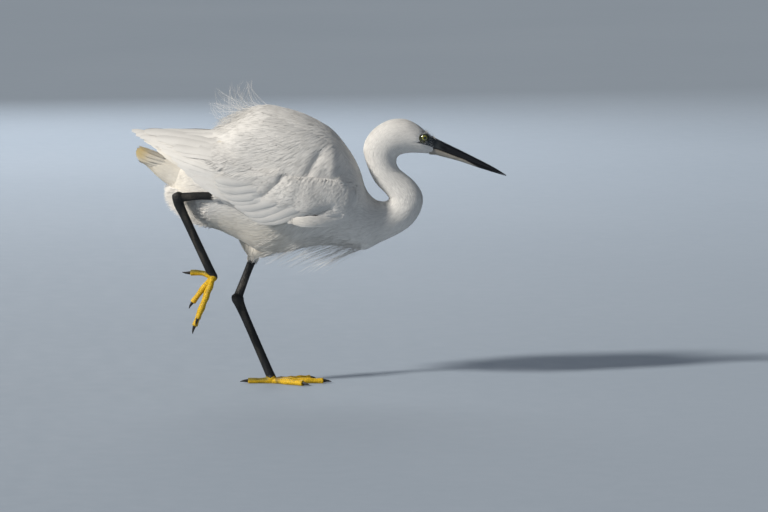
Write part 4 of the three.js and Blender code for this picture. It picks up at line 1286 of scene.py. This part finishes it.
def scapulars(name, side):
    count = 20
    t = np.linspace(0, 1, count)
    order = rng.permutation(count)
    roots = np.stack([30 + 44 * t, 284 - 44 * t], -1) + rng.normal(0, 3, (count, 2))
    tips = np.stack([-72 + 88 * t, 272 - 38 * t], -1) + rng.normal(0, 4, (count, 2))
    own = 0.1 * (order % 6)[:, None]

    def under(s, x, z):
        return mantle_height(x, z) - 0.9 + own - 5 * (1 - s) ** 3

    width = rng.uniform(11, 14, count)
    large = sheet_vanes(roots, tips, 3 - 5 * t, width, under, side, outline=LANCE, camber=0.05, roll=0.1)
    many = 4400
    x = rng.uniform(-50, 88, many)
    floor_z = np.interp(x, [-50, -30, -10, 12, 36, 60, 79, 88], [258, 240, 233, 236, 233, 231, 227, 224])
    start = np.stack([x, floor_z + (mantle_roof(x) - floor_z) * rng.uniform(0, 1, many)], -1)
    reach = rng.uniform(14, 26, many) + 10 * ramp(-30, -50, x) * rng.uniform(0, 1, many)
    place = flow_paths(start, reach, scapular_way, 5)
    s = np.linspace(0, 1, 5)
    x, z = place[..., 0], place[..., 1]
    wave = 0.3 * ripple(start[:, 0] / 9, start[:, 1] / 3.2, 8)
    proud = rng.uniform(0.0, 0.6, many) + wave
    settle = 0.4 * ramp(-52, -72, x)
    lift = mantle_height(x, z) - 1.4 + (1.4 + proud)[:, None] * s**0.7 - settle
    paths, normals = on_sheet(x, z, lift, side, mantle_height)
    tint = tinted(paths[:, 1], 0.86, 1)
    thin = strands(paths, normals, rng.uniform(1.3, 2.4, many), 0.3, uv_side(*start.T), tint)
    plumage(f"scapulars_{name}", large, look=feather)
    plumage(f"scapular_barbs_{name}", thin)


for side_name, side_sign in SIDES.items():
    scapulars(side_name, side_sign)


# Tail: twelve feathers, the middle ones on top, stained at their tips, over long soft undertail coverts
def tail_tint(share, up):
    yellow = ramp(0.6, 0.9, share) * ramp(0.0, 0.6, up)
    brown = ramp(0.6, 0.95, share) * ramp(0.05, -0.5, up)
    tint = mix(WHITE, CREAM, (0.3 + 0.35 * ramp(0.3, 0.9, share))[..., None])
    tint = mix(tint, STAIN, (0.7 * yellow)[..., None])
    return mix(tint, UMBER, (0.45 * brown)[..., None])


def tail_feathers():
    batches = []
    pairs = 6
    for i in range(pairs):
        t = i / (pairs - 1)
        turn = math.radians(14 + 104 * t)
        for side in SIDES.values():
            normal = np.array([0, side * math.sin(turn), math.cos(turn)])
            root = np.array([-108, 6 * normal[1], 240 + 8 * normal[2]])
            reach = -148.4 + 20 * (t - 0.45) ** 2
            tip = np.array([reach, 5.5 * normal[1] + 1.2 * side, 254 + 5.5 * normal[2] - 3 * t])
            tip = tip + normal * 0.4 * (pairs - 1 - i) + rng.normal(0, 0.4, 3)
            path = mix(root, tip, VANE_S[:, None]) + normal * (2 * VANE_S * (1 - VANE_S))[:, None]
            tint = tail_tint(VANE_S, np.full(len(VANE_S), normal[2]))[None]
            uv = uv_side(root[None, 0], root[None, 2])
            facing = np.broadcast_to(normal, path.shape)[None]
            batches.append(vanes(path[None], facing, 12.5, uv, tint, ROUND_TIP, thick=0.45, camber=0.16))
    plumage("tail_feathers", *batches, look=feather)
    count = 5200
    t = rng.uniform(0, 1, count) ** 0.9
    a = rng.uniform(0, TURN, count)
    length = rng.uniform(11, 20, count)
    s = np.linspace(0, 1, 5)
    heights = -2 + (2.2 + rng.uniform(0, 0.7, count))[:, None] * s**0.6 + 3.4 * ramp(0.55, 1, t)[:, None]
    paths, normals = limb_paths(TAIL_CORE, t, a, length, heights, 58)
    keep = (paths[:, -1, 2] < 263) & (paths[:, -1, 0] > -147.5 + 2 * rng.uniform(0, 1, count))
    share = np.clip((-84 - paths[:, 2, 0]) / 62, 0, 1)
    tint = tail_tint(share, normals[:, 1, 2]) * rng.uniform(0.95, 1.02, (count, 1))
    width = rng.uniform(1.2, 2.3, count) * (1 - 0.45 * t)
    uv = uv_at(a / TURN, UV_SHORT * t)
    soft = strands(paths[keep], normals[keep], width[keep], 0.3, uv[keep], tint[keep])
    plumage("undertail_coverts", soft)


tail_feathers()


# Thighs: short feathers that end in a fringe round the bare shank
def thigh_coat(name):
    limb = thigh_limb(LEGS[name])
    points = limb[0]
    span = float(np.linalg.norm(np.diff(points, axis=0), axis=1).sum())
    count = 2600
    t = rng.uniform(0.02, 0.95, count)
    a = rng.uniform(0, TURN, count)
    length = rng.uniform(8, 14, count) * np.interp(t, [0.6, 0.9], [1, 0.75])
    loose = rng.uniform(0, 1, count) < 0.06
    s = np.linspace(0, 1, 5)
    proud = np.where(loose, 0.8, rng.uniform(0.1, 0.5, count))
    heights = -1.1 + (1.1 + proud)[:, None] * s**0.6
    paths, normals = limb_paths(limb, t, a, length, heights, span)
    beyond = (ramp(0.9, 1.25, (t[:, None] + length[:, None] * s / span)) * s)[..., None]
    axis = unit(limb[0][-1] - limb[0][-2])
    off = paths - limb[0][-1]
    centre = limb[0][-1] + (off @ axis)[..., None] * axis
    paths = mix(paths, centre, 0.28 * beyond)
    tint = tinted(paths[:, 0], 0.95, 1.02)
    width = np.where(loose, rng.uniform(0.4, 0.7, count), rng.uniform(1.0, 2.3, count))
    uv = uv_at(a / TURN, t)
    batch = strands(paths, normals, width, 0.35, uv, tint)
    plumage(f"thigh_coat_{name}", batch)


def thigh_skirt():
    """Belly feathers that hang round the standing leg's thigh, in a cone that closes on the bare shank."""
    count = 1700
    a = rng.uniform(0, TURN, count)
    ring = np.stack([np.cos(a), np.sin(a), 0 * a], -1)
    base = np.array([-9, 14, 0]) + ring * np.array([30, 13, 0])
    rows = TRUNK[2:11]
    low, top, half = (np.interp(base[:, 0], rows[:, 2], rows[:, k]) for k in (3, 1, 4))
    base[:, 2] = (low + top) / 2 - (top - low) / 2 * np.sqrt(1 - (base[:, 1] / half) ** 2) + 1.6
    close = np.array(LEGS["left"]["shank"][0], float) + ring * 5.4 + np.array([0, 0, -1.0])
    span = np.linalg.norm(close - base, axis=1)
    start = rng.uniform(0, 0.85, count)
    reach = rng.uniform(7, 12, count) / span
    share = np.minimum(start[:, None] + reach[:, None] * np.linspace(0, 1, 5), 1.12)[..., None]
    paths = mix(base[:, None], close[:, None], share)
    out = unit(ring * 0.85 + np.array([0, 0, -0.5]))[:, None]
    rise = np.linspace(-0.8, 0.5, 5)[None, :, None] + 1.5 * np.sin(math.pi * np.minimum(share, 1))
    paths = paths + out * rise * rng.uniform(0.7, 1.2, (count, 1, 1))
    normals = np.repeat(out, 5, 1)
    tint = tinted(paths[:, 0], 0.92, 1.02)
    uv = uv_at(a / TURN, UV_SHORT * start)
    batch = strands(paths, normals, rng.uniform(0.9, 1.8, count), 0.22, uv, tint)
    plumage("thigh_skirt", batch)


def shank_fringe(name, start, ahead, size):
    """Fine hairs that close round the top of a bare shank."""
    shank = np.array(LEGS[name]["shank"], float)
    along = unit(shank[1] - shank[0])
    over = unit(np.cross(along, [0, 1.0, 0]))
    count = 260
    a = rng.uniform(0, TURN, count)[:, None]
    out = np.cos(a) * np.array([0, 1.0, 0]) + np.sin(a) * over
    root = shank[0] - along * rng.uniform(*start, (count, 1)) + out * size
    tip = shank[0] + along * rng.uniform(*ahead, (count, 1)) + out * rng.uniform(4.2, 6.2, (count, 1))
    bend = (root + tip) / 2 + out * 0.8
    uv = uv_at(a[:, 0] / TURN, np.full(count, 0.95 / UV_SPAN))
    facing = unit(out + np.array([-0.3, 0, 0.2]))
    width = rng.uniform(0.3, 0.6, count)
    plumage(f"shank_fringe_{name}", hairs(root, bend, tip, width, uv, facing, 6))


for side_name in SIDES:
    thigh_coat(side_name)
thigh_skirt()


# Plumes of the back, breast and vent
def hairs(root, bend, tip, width, uv, facing, rings=11):
    """Free hair-like barbs that thin to their tips, shaded as one soft mass that faces out."""
    paths = bend_paths(root, bend, tip, rings)
    count = len(paths)
    sideways = np.where(root[:, 1:2] < 0, -1.0, 1.0) * np.array([0.1, 1.0, 0.15])
    normals = np.repeat(unit(sideways)[:, None], rings, 1)
    tint = np.broadcast_to(WHITE, (count, 3)) * rng.uniform(0.95, 1.04, (count, 1))
    batch = strands(paths, normals, width, width * 0.8, uv, tint, lambda s: 1 - 0.55 * s)
    per = len(batch.verts) // count
    soft = np.repeat(facing + rng.normal(0, 0.12, (count, 3)), per, 0)
    batch.layers["normals"] = unit(soft + 0.35 * batch.layers["normals"])
    return batch


def plume_side(y):
    return unit(np.stack([np.full(len(y), -0.3), y / 18, np.full(len(y), 0.75)], -1))


MANTLE_X = [-57, -35, -10, 15, 20]
MANTLE_Z = [280, 296, 307, 304, 302]


CURL_TIPS = np.array([
    (-59, 329), (-50, 322), (-35, 329), (-26, 335), (-66, 316), (-67, 306), (-42, 331), (-60, 312),
])
CURL_TOP = 336.5  # the highest that a curl reaches


def slope_wisps(count):
    """Wisps that leave the mantle's rear slope and arch back over the wings."""
    x = rng.uniform(-58, 20, count)
    y = rng.uniform(-22, 22, count)
    top = np.interp(x, MANTLE_X, MANTLE_Z) - y * y / 45
    root = np.stack([x, y, top - 1], -1)
    reach = rng.uniform(14, 36, count)
    fall = rng.uniform(0.2, 0.9, count) * np.interp(x, [-56, -10, 20], [0.6, 0.8, 0.3])
    stand = rng.uniform(1, 6, count)
    tip = root + np.stack([-reach, 0.12 * y, -reach * fall + rng.normal(0, 1.5, count)], -1)
    tip[:, 0] = np.maximum(tip[:, 0], -68 + rng.uniform(0, 8, count))
    bend = root + np.stack([-0.45 * reach, 0.08 * y, stand], -1)
    uv = plume_uv(y, 0.2 + 0.2 * (x + 60) / 80)
    return hairs(root, bend, tip, rng.uniform(0.16, 0.3, count), uv, plume_side(y))


def curls(count):
    """Tall curls over the back, which gather towards a few tips."""
    x = rng.uniform(-50, 2, count)
    y = rng.uniform(-10, 10, count)
    root = np.stack([x, y, np.interp(x, [-57, -35, -10, 2], [280, 296, 307, 306]) - 1], -1)
    goal = CURL_TIPS[rng.integers(0, len(CURL_TIPS), count)]
    near = ramp(4, 40, np.abs(goal[:, 0] - x))
    tip_x = goal[:, 0] + rng.normal(0, 3, count)
    tip_z = goal[:, 1] + rng.normal(0, 3, count) - 6 * near
    tip = np.stack([tip_x, y * 1.1, np.minimum(tip_z, CURL_TOP)], -1)
    slack = np.stack([rng.uniform(-11, -3, count), np.zeros(count), rng.uniform(-11, -1, count)], -1)
    uv = plume_uv(y, np.full(count, 0.3))
    return hairs(root, (root + tip) / 2 + slack, tip, rng.uniform(0.13, 0.22, count), uv, plume_side(y), 14)


def breast_plumes():
    """Long fine plumes that hang back from the breast and the foot of the neck, apart from one another."""
    count = 420
    t = rng.uniform(6.3, 12.0, count)
    a = math.pi + rng.uniform(-0.9, 0.9, count)
    root = trunk_point(t, a, -1.0)
    long = rng.uniform(0, 1, count) ** 1.5
    length = (16 + 50 * long) * np.interp(t, [6.4, 8, 9.5, 12.4], [0.5, 0.8, 1.05, 1.05])
    turn = np.radians(rng.uniform(10, 30, count) + 6 * long)
    tip = root + np.stack([-length * np.cos(turn), -root[:, 1] * 0.08, -length * np.sin(turn)], -1)
    tip[:, 2] = np.maximum(tip[:, 2], 116 + 0.3 * np.abs(tip[:, 0] - 42))
    side_way = rng.normal(0, 1.2, count)
    bend = (root + tip) / 2 + np.stack([side_way, 0.5 * side_way, rng.uniform(0, 3, count) * (1 - long)], -1)
    sideways = np.where(root[:, 1:2] < 4, -0.5, 0.5) * [0, 1, 0]
    facing = unit(0.4 * trunk_normal(t, a) + np.array([-0.5, 0, 0.25]) + sideways)
    width = rng.uniform(0.14, 0.28, count)
    plumage("breast_plumes", hairs(root, bend, tip, width, uv_of(t, a), facing, 12))


def vent_down():
    """Loose down under and behind the vent, as a fringe."""
    count = 4600
    t = 0.02 + 3.6 * rng.uniform(0, 1, count) ** 1.5
    a = rng.uniform(0.55, 1.45, count) * math.pi
    root = trunk_point(t, a, -1.5)
    out = trunk_normal(t, a)
    length = rng.uniform(7, 17, count)[:, None] * np.interp(t, [0, 1, 3.6], [1.0, 0.95, 0.5])[:, None]
    spread = np.interp(t, [0, 2, 3.6], [0.6, 0.5, 0.12])[:, None]
    way = unit(np.array([-1.0, 0, 0.1]) + out * spread + rng.normal(0, 0.26, (count, 3)))
    tip = root + way * length
    tip[:, 0] = np.maximum(tip[:, 0], -119 + rng.uniform(0, 6, count))
    bend = root + out * 2.2 + way * length * 0.45
    width = rng.uniform(0.16, 0.42, count)
    facing = unit(out * 0.6 + np.array([-0.6, 0, 0.4]))
    plumage("vent_down", hairs(root, bend, tip, width, uv_of(t, a), facing, 6))


plumage("back_plumes", slope_wisps(420), curls(84))
breast_plumes()
vent_down()
shank_fringe("left", (1, 5), (3, 9), 5.0)
shank_fringe("right", (0, 4), (3, 9), 4.6)


# Face: the forehead's hairs over the culmen's root, the chin's over the jaw's, and sparse ones on the lores
def brow(x):
    return np.interp(x, [166, 172, 180.8, 190.7], [276.5, 274.3, 269.4, 263.6])


def forehead(x):
    return np.interp(x, [158.5, 168.5, 176, 178.5, 191, 207], [287, 279.5, 273.2, 272.2, 266.2, 258])


def face_place(x, z, lift, side):
    """Points over the face or the bill's root at places in side view, with the normals there."""
    t, a = np.meshgrid(np.linspace(26.5, LAST, 90), np.linspace(0, math.pi, 120), indexing="ij")
    grid, out = trunk_point(t, a).reshape(-1, 3), trunk_normal(t, a).reshape(-1, 3)
    flat = np.stack([x.ravel(), z.ravel()], -1)
    best = np.array([np.argmin((grid[:, 0] - u) ** 2 + (grid[:, 2] - v) ** 2) for u, v in flat])
    reach = np.hypot(grid[best, 0] - flat[:, 0], grid[best, 2] - flat[:, 1])
    along_bill = np.interp(flat[:, 0], BILL[:, 0], np.arange(len(BILL)))
    _, culmen, mouth, lower, half = row_at(BILL, np.clip(along_bill, 0, 4)).T
    above = flat[:, 1] > mouth
    level = np.where(above, (flat[:, 1] - mouth) / (culmen - mouth), (mouth - flat[:, 1]) / (mouth - lower))
    roundness = np.sqrt(np.maximum(0, 1 - np.clip(level, 0, 1) ** 2)) ** 0.7
    horn_y = (half + 0.3) * np.where(above, 1, 0.85) * roundness
    y = np.where(reach < 1.0, np.maximum(grid[best, 1], np.where(flat[:, 0] > 177, horn_y, 0)), horn_y)
    normal = np.stack([out[best, 0] * 0.3, 0.15 + out[best, 1], out[best, 2]], -1)
    normal = unit(normal) * np.array([1, side, 1])
    point = np.stack([flat[:, 0], side * y, flat[:, 1]], -1) + normal * lift.reshape(-1, 1)
    return point.reshape(*x.shape, 3), normal.reshape(*x.shape, 3)


def face_hairs():
    batches = []
    for side in SIDES.values():
        # Each kind has its places, direction in degrees, length, height, width and brightness.
        x = 167 + 14 * rng.uniform(0, 1, 150) ** 1.7
        kinds = [(x, mix(brow(x), forehead(x), rng.uniform(0.1, 0.95, 150)), 155, 2.8, 0.3, 0.3, 0.6)]
        x = rng.uniform(170, 180, 30)
        kinds.append((x, forehead(x) - rng.uniform(0, 1.5, 30), 120, 3.0, 1.9, 0.18, 0.9))
        x = rng.uniform(173, 177.5, 60)
        kinds.append((x, rng.uniform(255.4, 258.6, 60) - 0.3 * (x - 176), 176, 3.0, 0.15, 0.5, 1.0))
        x = rng.uniform(164, 179, 110)
        low = np.interp(x, [164, 174, 179], [265.6, 263, 260.8])
        kinds.append((x, mix(low, brow(x), rng.uniform(0.05, 1, 110)), 160, 2.0, 0.35, 0.25, 0.55))
        for x, z, turn, length, proud, width, bright in kinds:
            count = len(x)
            way = np.radians(turn + rng.normal(0, 9, count))
            s = np.linspace(0, 1, 4)
            reach = (length * rng.uniform(0.7, 1.2, count))[:, None] * s
            px = x[:, None] + reach * np.cos(way)[:, None]
            pz = z[:, None] + reach * np.sin(way)[:, None]
            lift = -0.15 + (0.15 + proud * rng.uniform(0.3, 1.2, count))[:, None] * s
            paths, normals = face_place(px, pz, lift, side)
            tint = WHITE * bright * rng.uniform(0.9, 1.02, (count, 1))
            wide = width * rng.uniform(0.8, 1.3, count)
            uv = np.stack([0.5 + side * (0.02 + 0.2 * (280 - z) / 30), 0.93 + 0.05 * (x - 165) / 25], -1)
            batches.append(strands(paths, normals, wide, wide * 0.3, uv, tint, round_off=0.4))
    plumage("face_hairs", *batches)


face_hairs()


# Bill
def mandible(name, upper):
    rings, corners = 110, 36
    u = np.linspace(0, len(BILL) - 1, rings)
    x, culmen, mouth, lower, half = row_at(BILL, u).T
    root = ramp(0.25, 0, u)
    x = x - 5 * root
    half = half + 0.8 * root
    flat = mouth + 0.12 if upper else mouth - 0.12
    height = (culmen if upper else lower) - flat
    a = (np.arange(corners) + 0.5) / corners * TURN
    up = np.maximum(np.sin(a), 0)
    out = np.sign(np.cos(a)) * np.abs(np.cos(a)) ** 0.7
    inset = np.where(np.sin(a) > 0, 1, 0.8)
    points = np.zeros((rings, corners, 3))
    points[..., 0] = x[:, None]
    points[..., 1] = half[:, None] * out * inset
    points[..., 2] = flat[:, None] + height[:, None] * up
    level = np.broadcast_to(up, (rings, corners))
    if upper:
        slit = np.exp(-(((points[..., 0] - 190) / 4.2) ** 4) - ((level - 0.46) / 0.1) ** 2)
        grooved = ramp(186, 192, points[..., 0]) * ramp(232, 205, points[..., 0])
        furrow = np.exp(-((level - 0.42) / 0.14) ** 2) * grooved
        points[..., 1] *= 1 - 0.24 * slit - 0.09 * furrow
        tint = np.broadcast_to(BILL_BLACK, points.shape).copy()
        base = ramp(192, 178, points[..., 0]) * 0.75
        tint = mix(tint, BILL_BASE, base[..., None])
        tint = tint * (1 - 0.7 * slit[..., None])
    else:
        along = (points[..., 0] - 178.5) / 79.5
        limit = np.interp(along, [0, 0.42, 0.55, 0.66], [1.2, 1.1, 0.5, -0.1])
        pale = ramp(limit + 0.07, limit - 0.07, 1 - level)
        tint = mix(BILL_BLACK, BILL_PALE, pale[..., None])
    verts, quads, tris = shell(points, flip=upper)
    ends = np.stack([tint[0].mean(0), tint[-1].mean(0)])
    tints = np.concatenate([tint.reshape(-1, 3), ends])
    obj = joined(f"{name}_horn", [with_layers(verts, quads, tris, tints)], horn)
    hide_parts(name)


mandible("bill_upper", True)
mandible("bill_lower", False)


# Eyes and lids
def eye_frame(side):
    """The eye's centre, the axis that it looks along, and two directions across it."""
    axis = unit(np.array([0.18, side, 0.03]))
    first = unit(np.cross(axis, [0, 0, 1.0]))
    return EYE_CENTRE * np.array([1, side, 1]), axis, first, np.cross(axis, first)


def eye(name, side):
    centre, axis, first, second = eye_frame(side)
    rings, corners = 40, 48
    drop = np.linspace(0.02, math.pi * 0.62, rings)[:, None]
    turn = np.linspace(0, TURN, corners, endpoint=False)[None]
    bulge = EYE_RADIUS - 0.05 + 0.25 * np.exp(-((drop / 0.6) ** 4))
    flatness = np.sin(drop) * bulge
    points = (
        centre
        + axis * (np.cos(drop) * bulge)[..., None]
        + first * (flatness * np.cos(turn))[..., None]
        + second * (flatness * np.sin(turn))[..., None]
    )
    verts, quads, tris = shell(points, flip=side > 0)
    off = verts - centre
    radial = np.linalg.norm(off - axis * (off @ axis)[:, None], axis=1)
    radial = np.where(off @ axis > 0, radial, WHITE_OF_EYE)
    lay = np.stack([radial, np.arctan2(off @ second, off @ first) * 3, np.zeros(len(verts))], -1)
    obj = joined(f"eyeball_{name}", [with_layers(verts, quads, tris, WHITE, lay)], eye_gloss)
    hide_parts(f"eye_{name}")


# The rims of the lids: distance from the eye's axis, place along it, thickness and brightness
LID_RIMS = ((4.2, 3.85, 0.4, 0.35), (4.95, 3.05, 0.5, 1.0))


def lids(name, side):
    centre, axis, first, second = eye_frame(side)
    rows, columns = 72, 12
    t = np.linspace(0, TURN, rows, endpoint=False)[:, None]
    phi = np.linspace(0, TURN, columns, endpoint=False)[None]
    r, c = np.meshgrid(np.arange(rows), np.arange(columns), indexing="ij")
    next_r, next_c = (r + 1) % rows, (c + 1) % columns
    corners = [(r, c), (next_r, c), (next_r, next_c), (r, next_c)]
    quads = np.stack([row * columns + column for row, column in corners], -1).reshape(-1, 4)
    if side < 0:
        quads = quads[:, ::-1]
    parts = []
    for reach, out, radius, bright in LID_RIMS:
        almond = 1 + 0.06 * np.cos(2 * t)
        wide = ((reach + radius * np.cos(phi)) * almond)[..., None]
        height = (out + radius * np.sin(phi) + 0 * t)[..., None]
        around = first * np.cos(t)[..., None] + second * np.sin(t)[..., None]
        flat = (centre + axis * height + around * wide).reshape(-1, 3)
        behind = ramp(-1, 3.5, (flat[:, 2] - centre[2]) * 0.8 - (flat[:, 0] - centre[0]))
        tint = bright * mix(ORBIT, LID_PALE, behind[:, None])
        parts.append(with_layers(flat, quads, NO_TRIS, tint, flat * 0.35))
    joined(f"lids_{name}", parts, face_skin)


for side_name, side_sign in SIDES.items():
    eye(side_name, side_sign)
    lids(side_name, side_sign)


# Floor, light and camera
BODY_MIDDLE = (0.05, 0, 0.2)


def floor():
    bpy.ops.mesh.primitive_circle_add(vertices=96, radius=14, fill_type="NGON", location=(0.1, 0, 0))
    ground = bpy.context.object
    ground.name = "floor"
    look = Look("pale_floor", Specular_IOR_Level=0.2)
    tone = look.node("ShaderNodeValToRGB", Fac=look.noise(1.5, 4))
    tone.color_ramp.elements[0].color = (0.36, 0.42, 0.49, 1)
    tone.color_ramp.elements[1].color = (0.4, 0.46, 0.53, 1)
    look.feed(look.shader, Base_Color=tone.outputs["Color"], Roughness=look.spread(look.noise(40), 0.7, 0.85))
    ground.data.materials.append(look.material)


def placed(obj, place, target):
    """Puts a light or camera into the scene and turns it to its target."""
    bpy.context.scene.collection.objects.link(obj)
    obj.location = place
    obj.rotation_euler = (Vector(target) - Vector(place)).to_track_quat("-Z", "Y").to_euler()
    return obj


def light(kind, name, place, target, power, colour, **settings):
    data = bpy.data.lights.new(name, kind)
    data.energy, data.color = power, colour
    for key, value in settings.items():
        setattr(data, key, value)
    placed(bpy.data.objects.new(name, data), place, target)


def world():
    studio = bpy.data.worlds.new("studio")
    studio.use_nodes = True
    background = studio.node_tree.nodes["Background"]
    background.inputs["Color"].default_value = (0.6, 0.7, 0.85, 1)
    background.inputs["Strength"].default_value = 0.16
    bpy.context.scene.world = studio


def camera():
    elevation = math.radians(6)
    distance = 7.0
    sensor = 36
    view_width = 0.8448  # metres across the picture at the bird
    target = Vector((0.12375, 0, 0.1409))
    data = bpy.data.cameras.new("camera")
    data.sensor_width = sensor
    data.lens = sensor * distance / view_width
    data.clip_end = 60
    place = target + distance * Vector((0, -math.cos(elevation), math.sin(elevation)))
    bpy.context.scene.camera = placed(bpy.data.objects.new("camera", data), place, target)


floor()
light("SUN", "key", (-0.76, -0.43, 0.49), (0, 0, 0), 3.55, (1.0, 0.955, 0.89), angle=math.radians(7))
light("AREA", "fill", (0.9, -3.2, 1.0), BODY_MIDDLE, 5, (0.8, 0.88, 1.0), shape="DISK", size=2.5)
light("AREA", "back_fill", (-0.6, 3.2, 1.6), BODY_MIDDLE, 34, (0.95, 0.97, 1.0), shape="DISK", size=2.5)
world()
bpy.context.scene.view_settings.view_transform = "Standard"
camera()
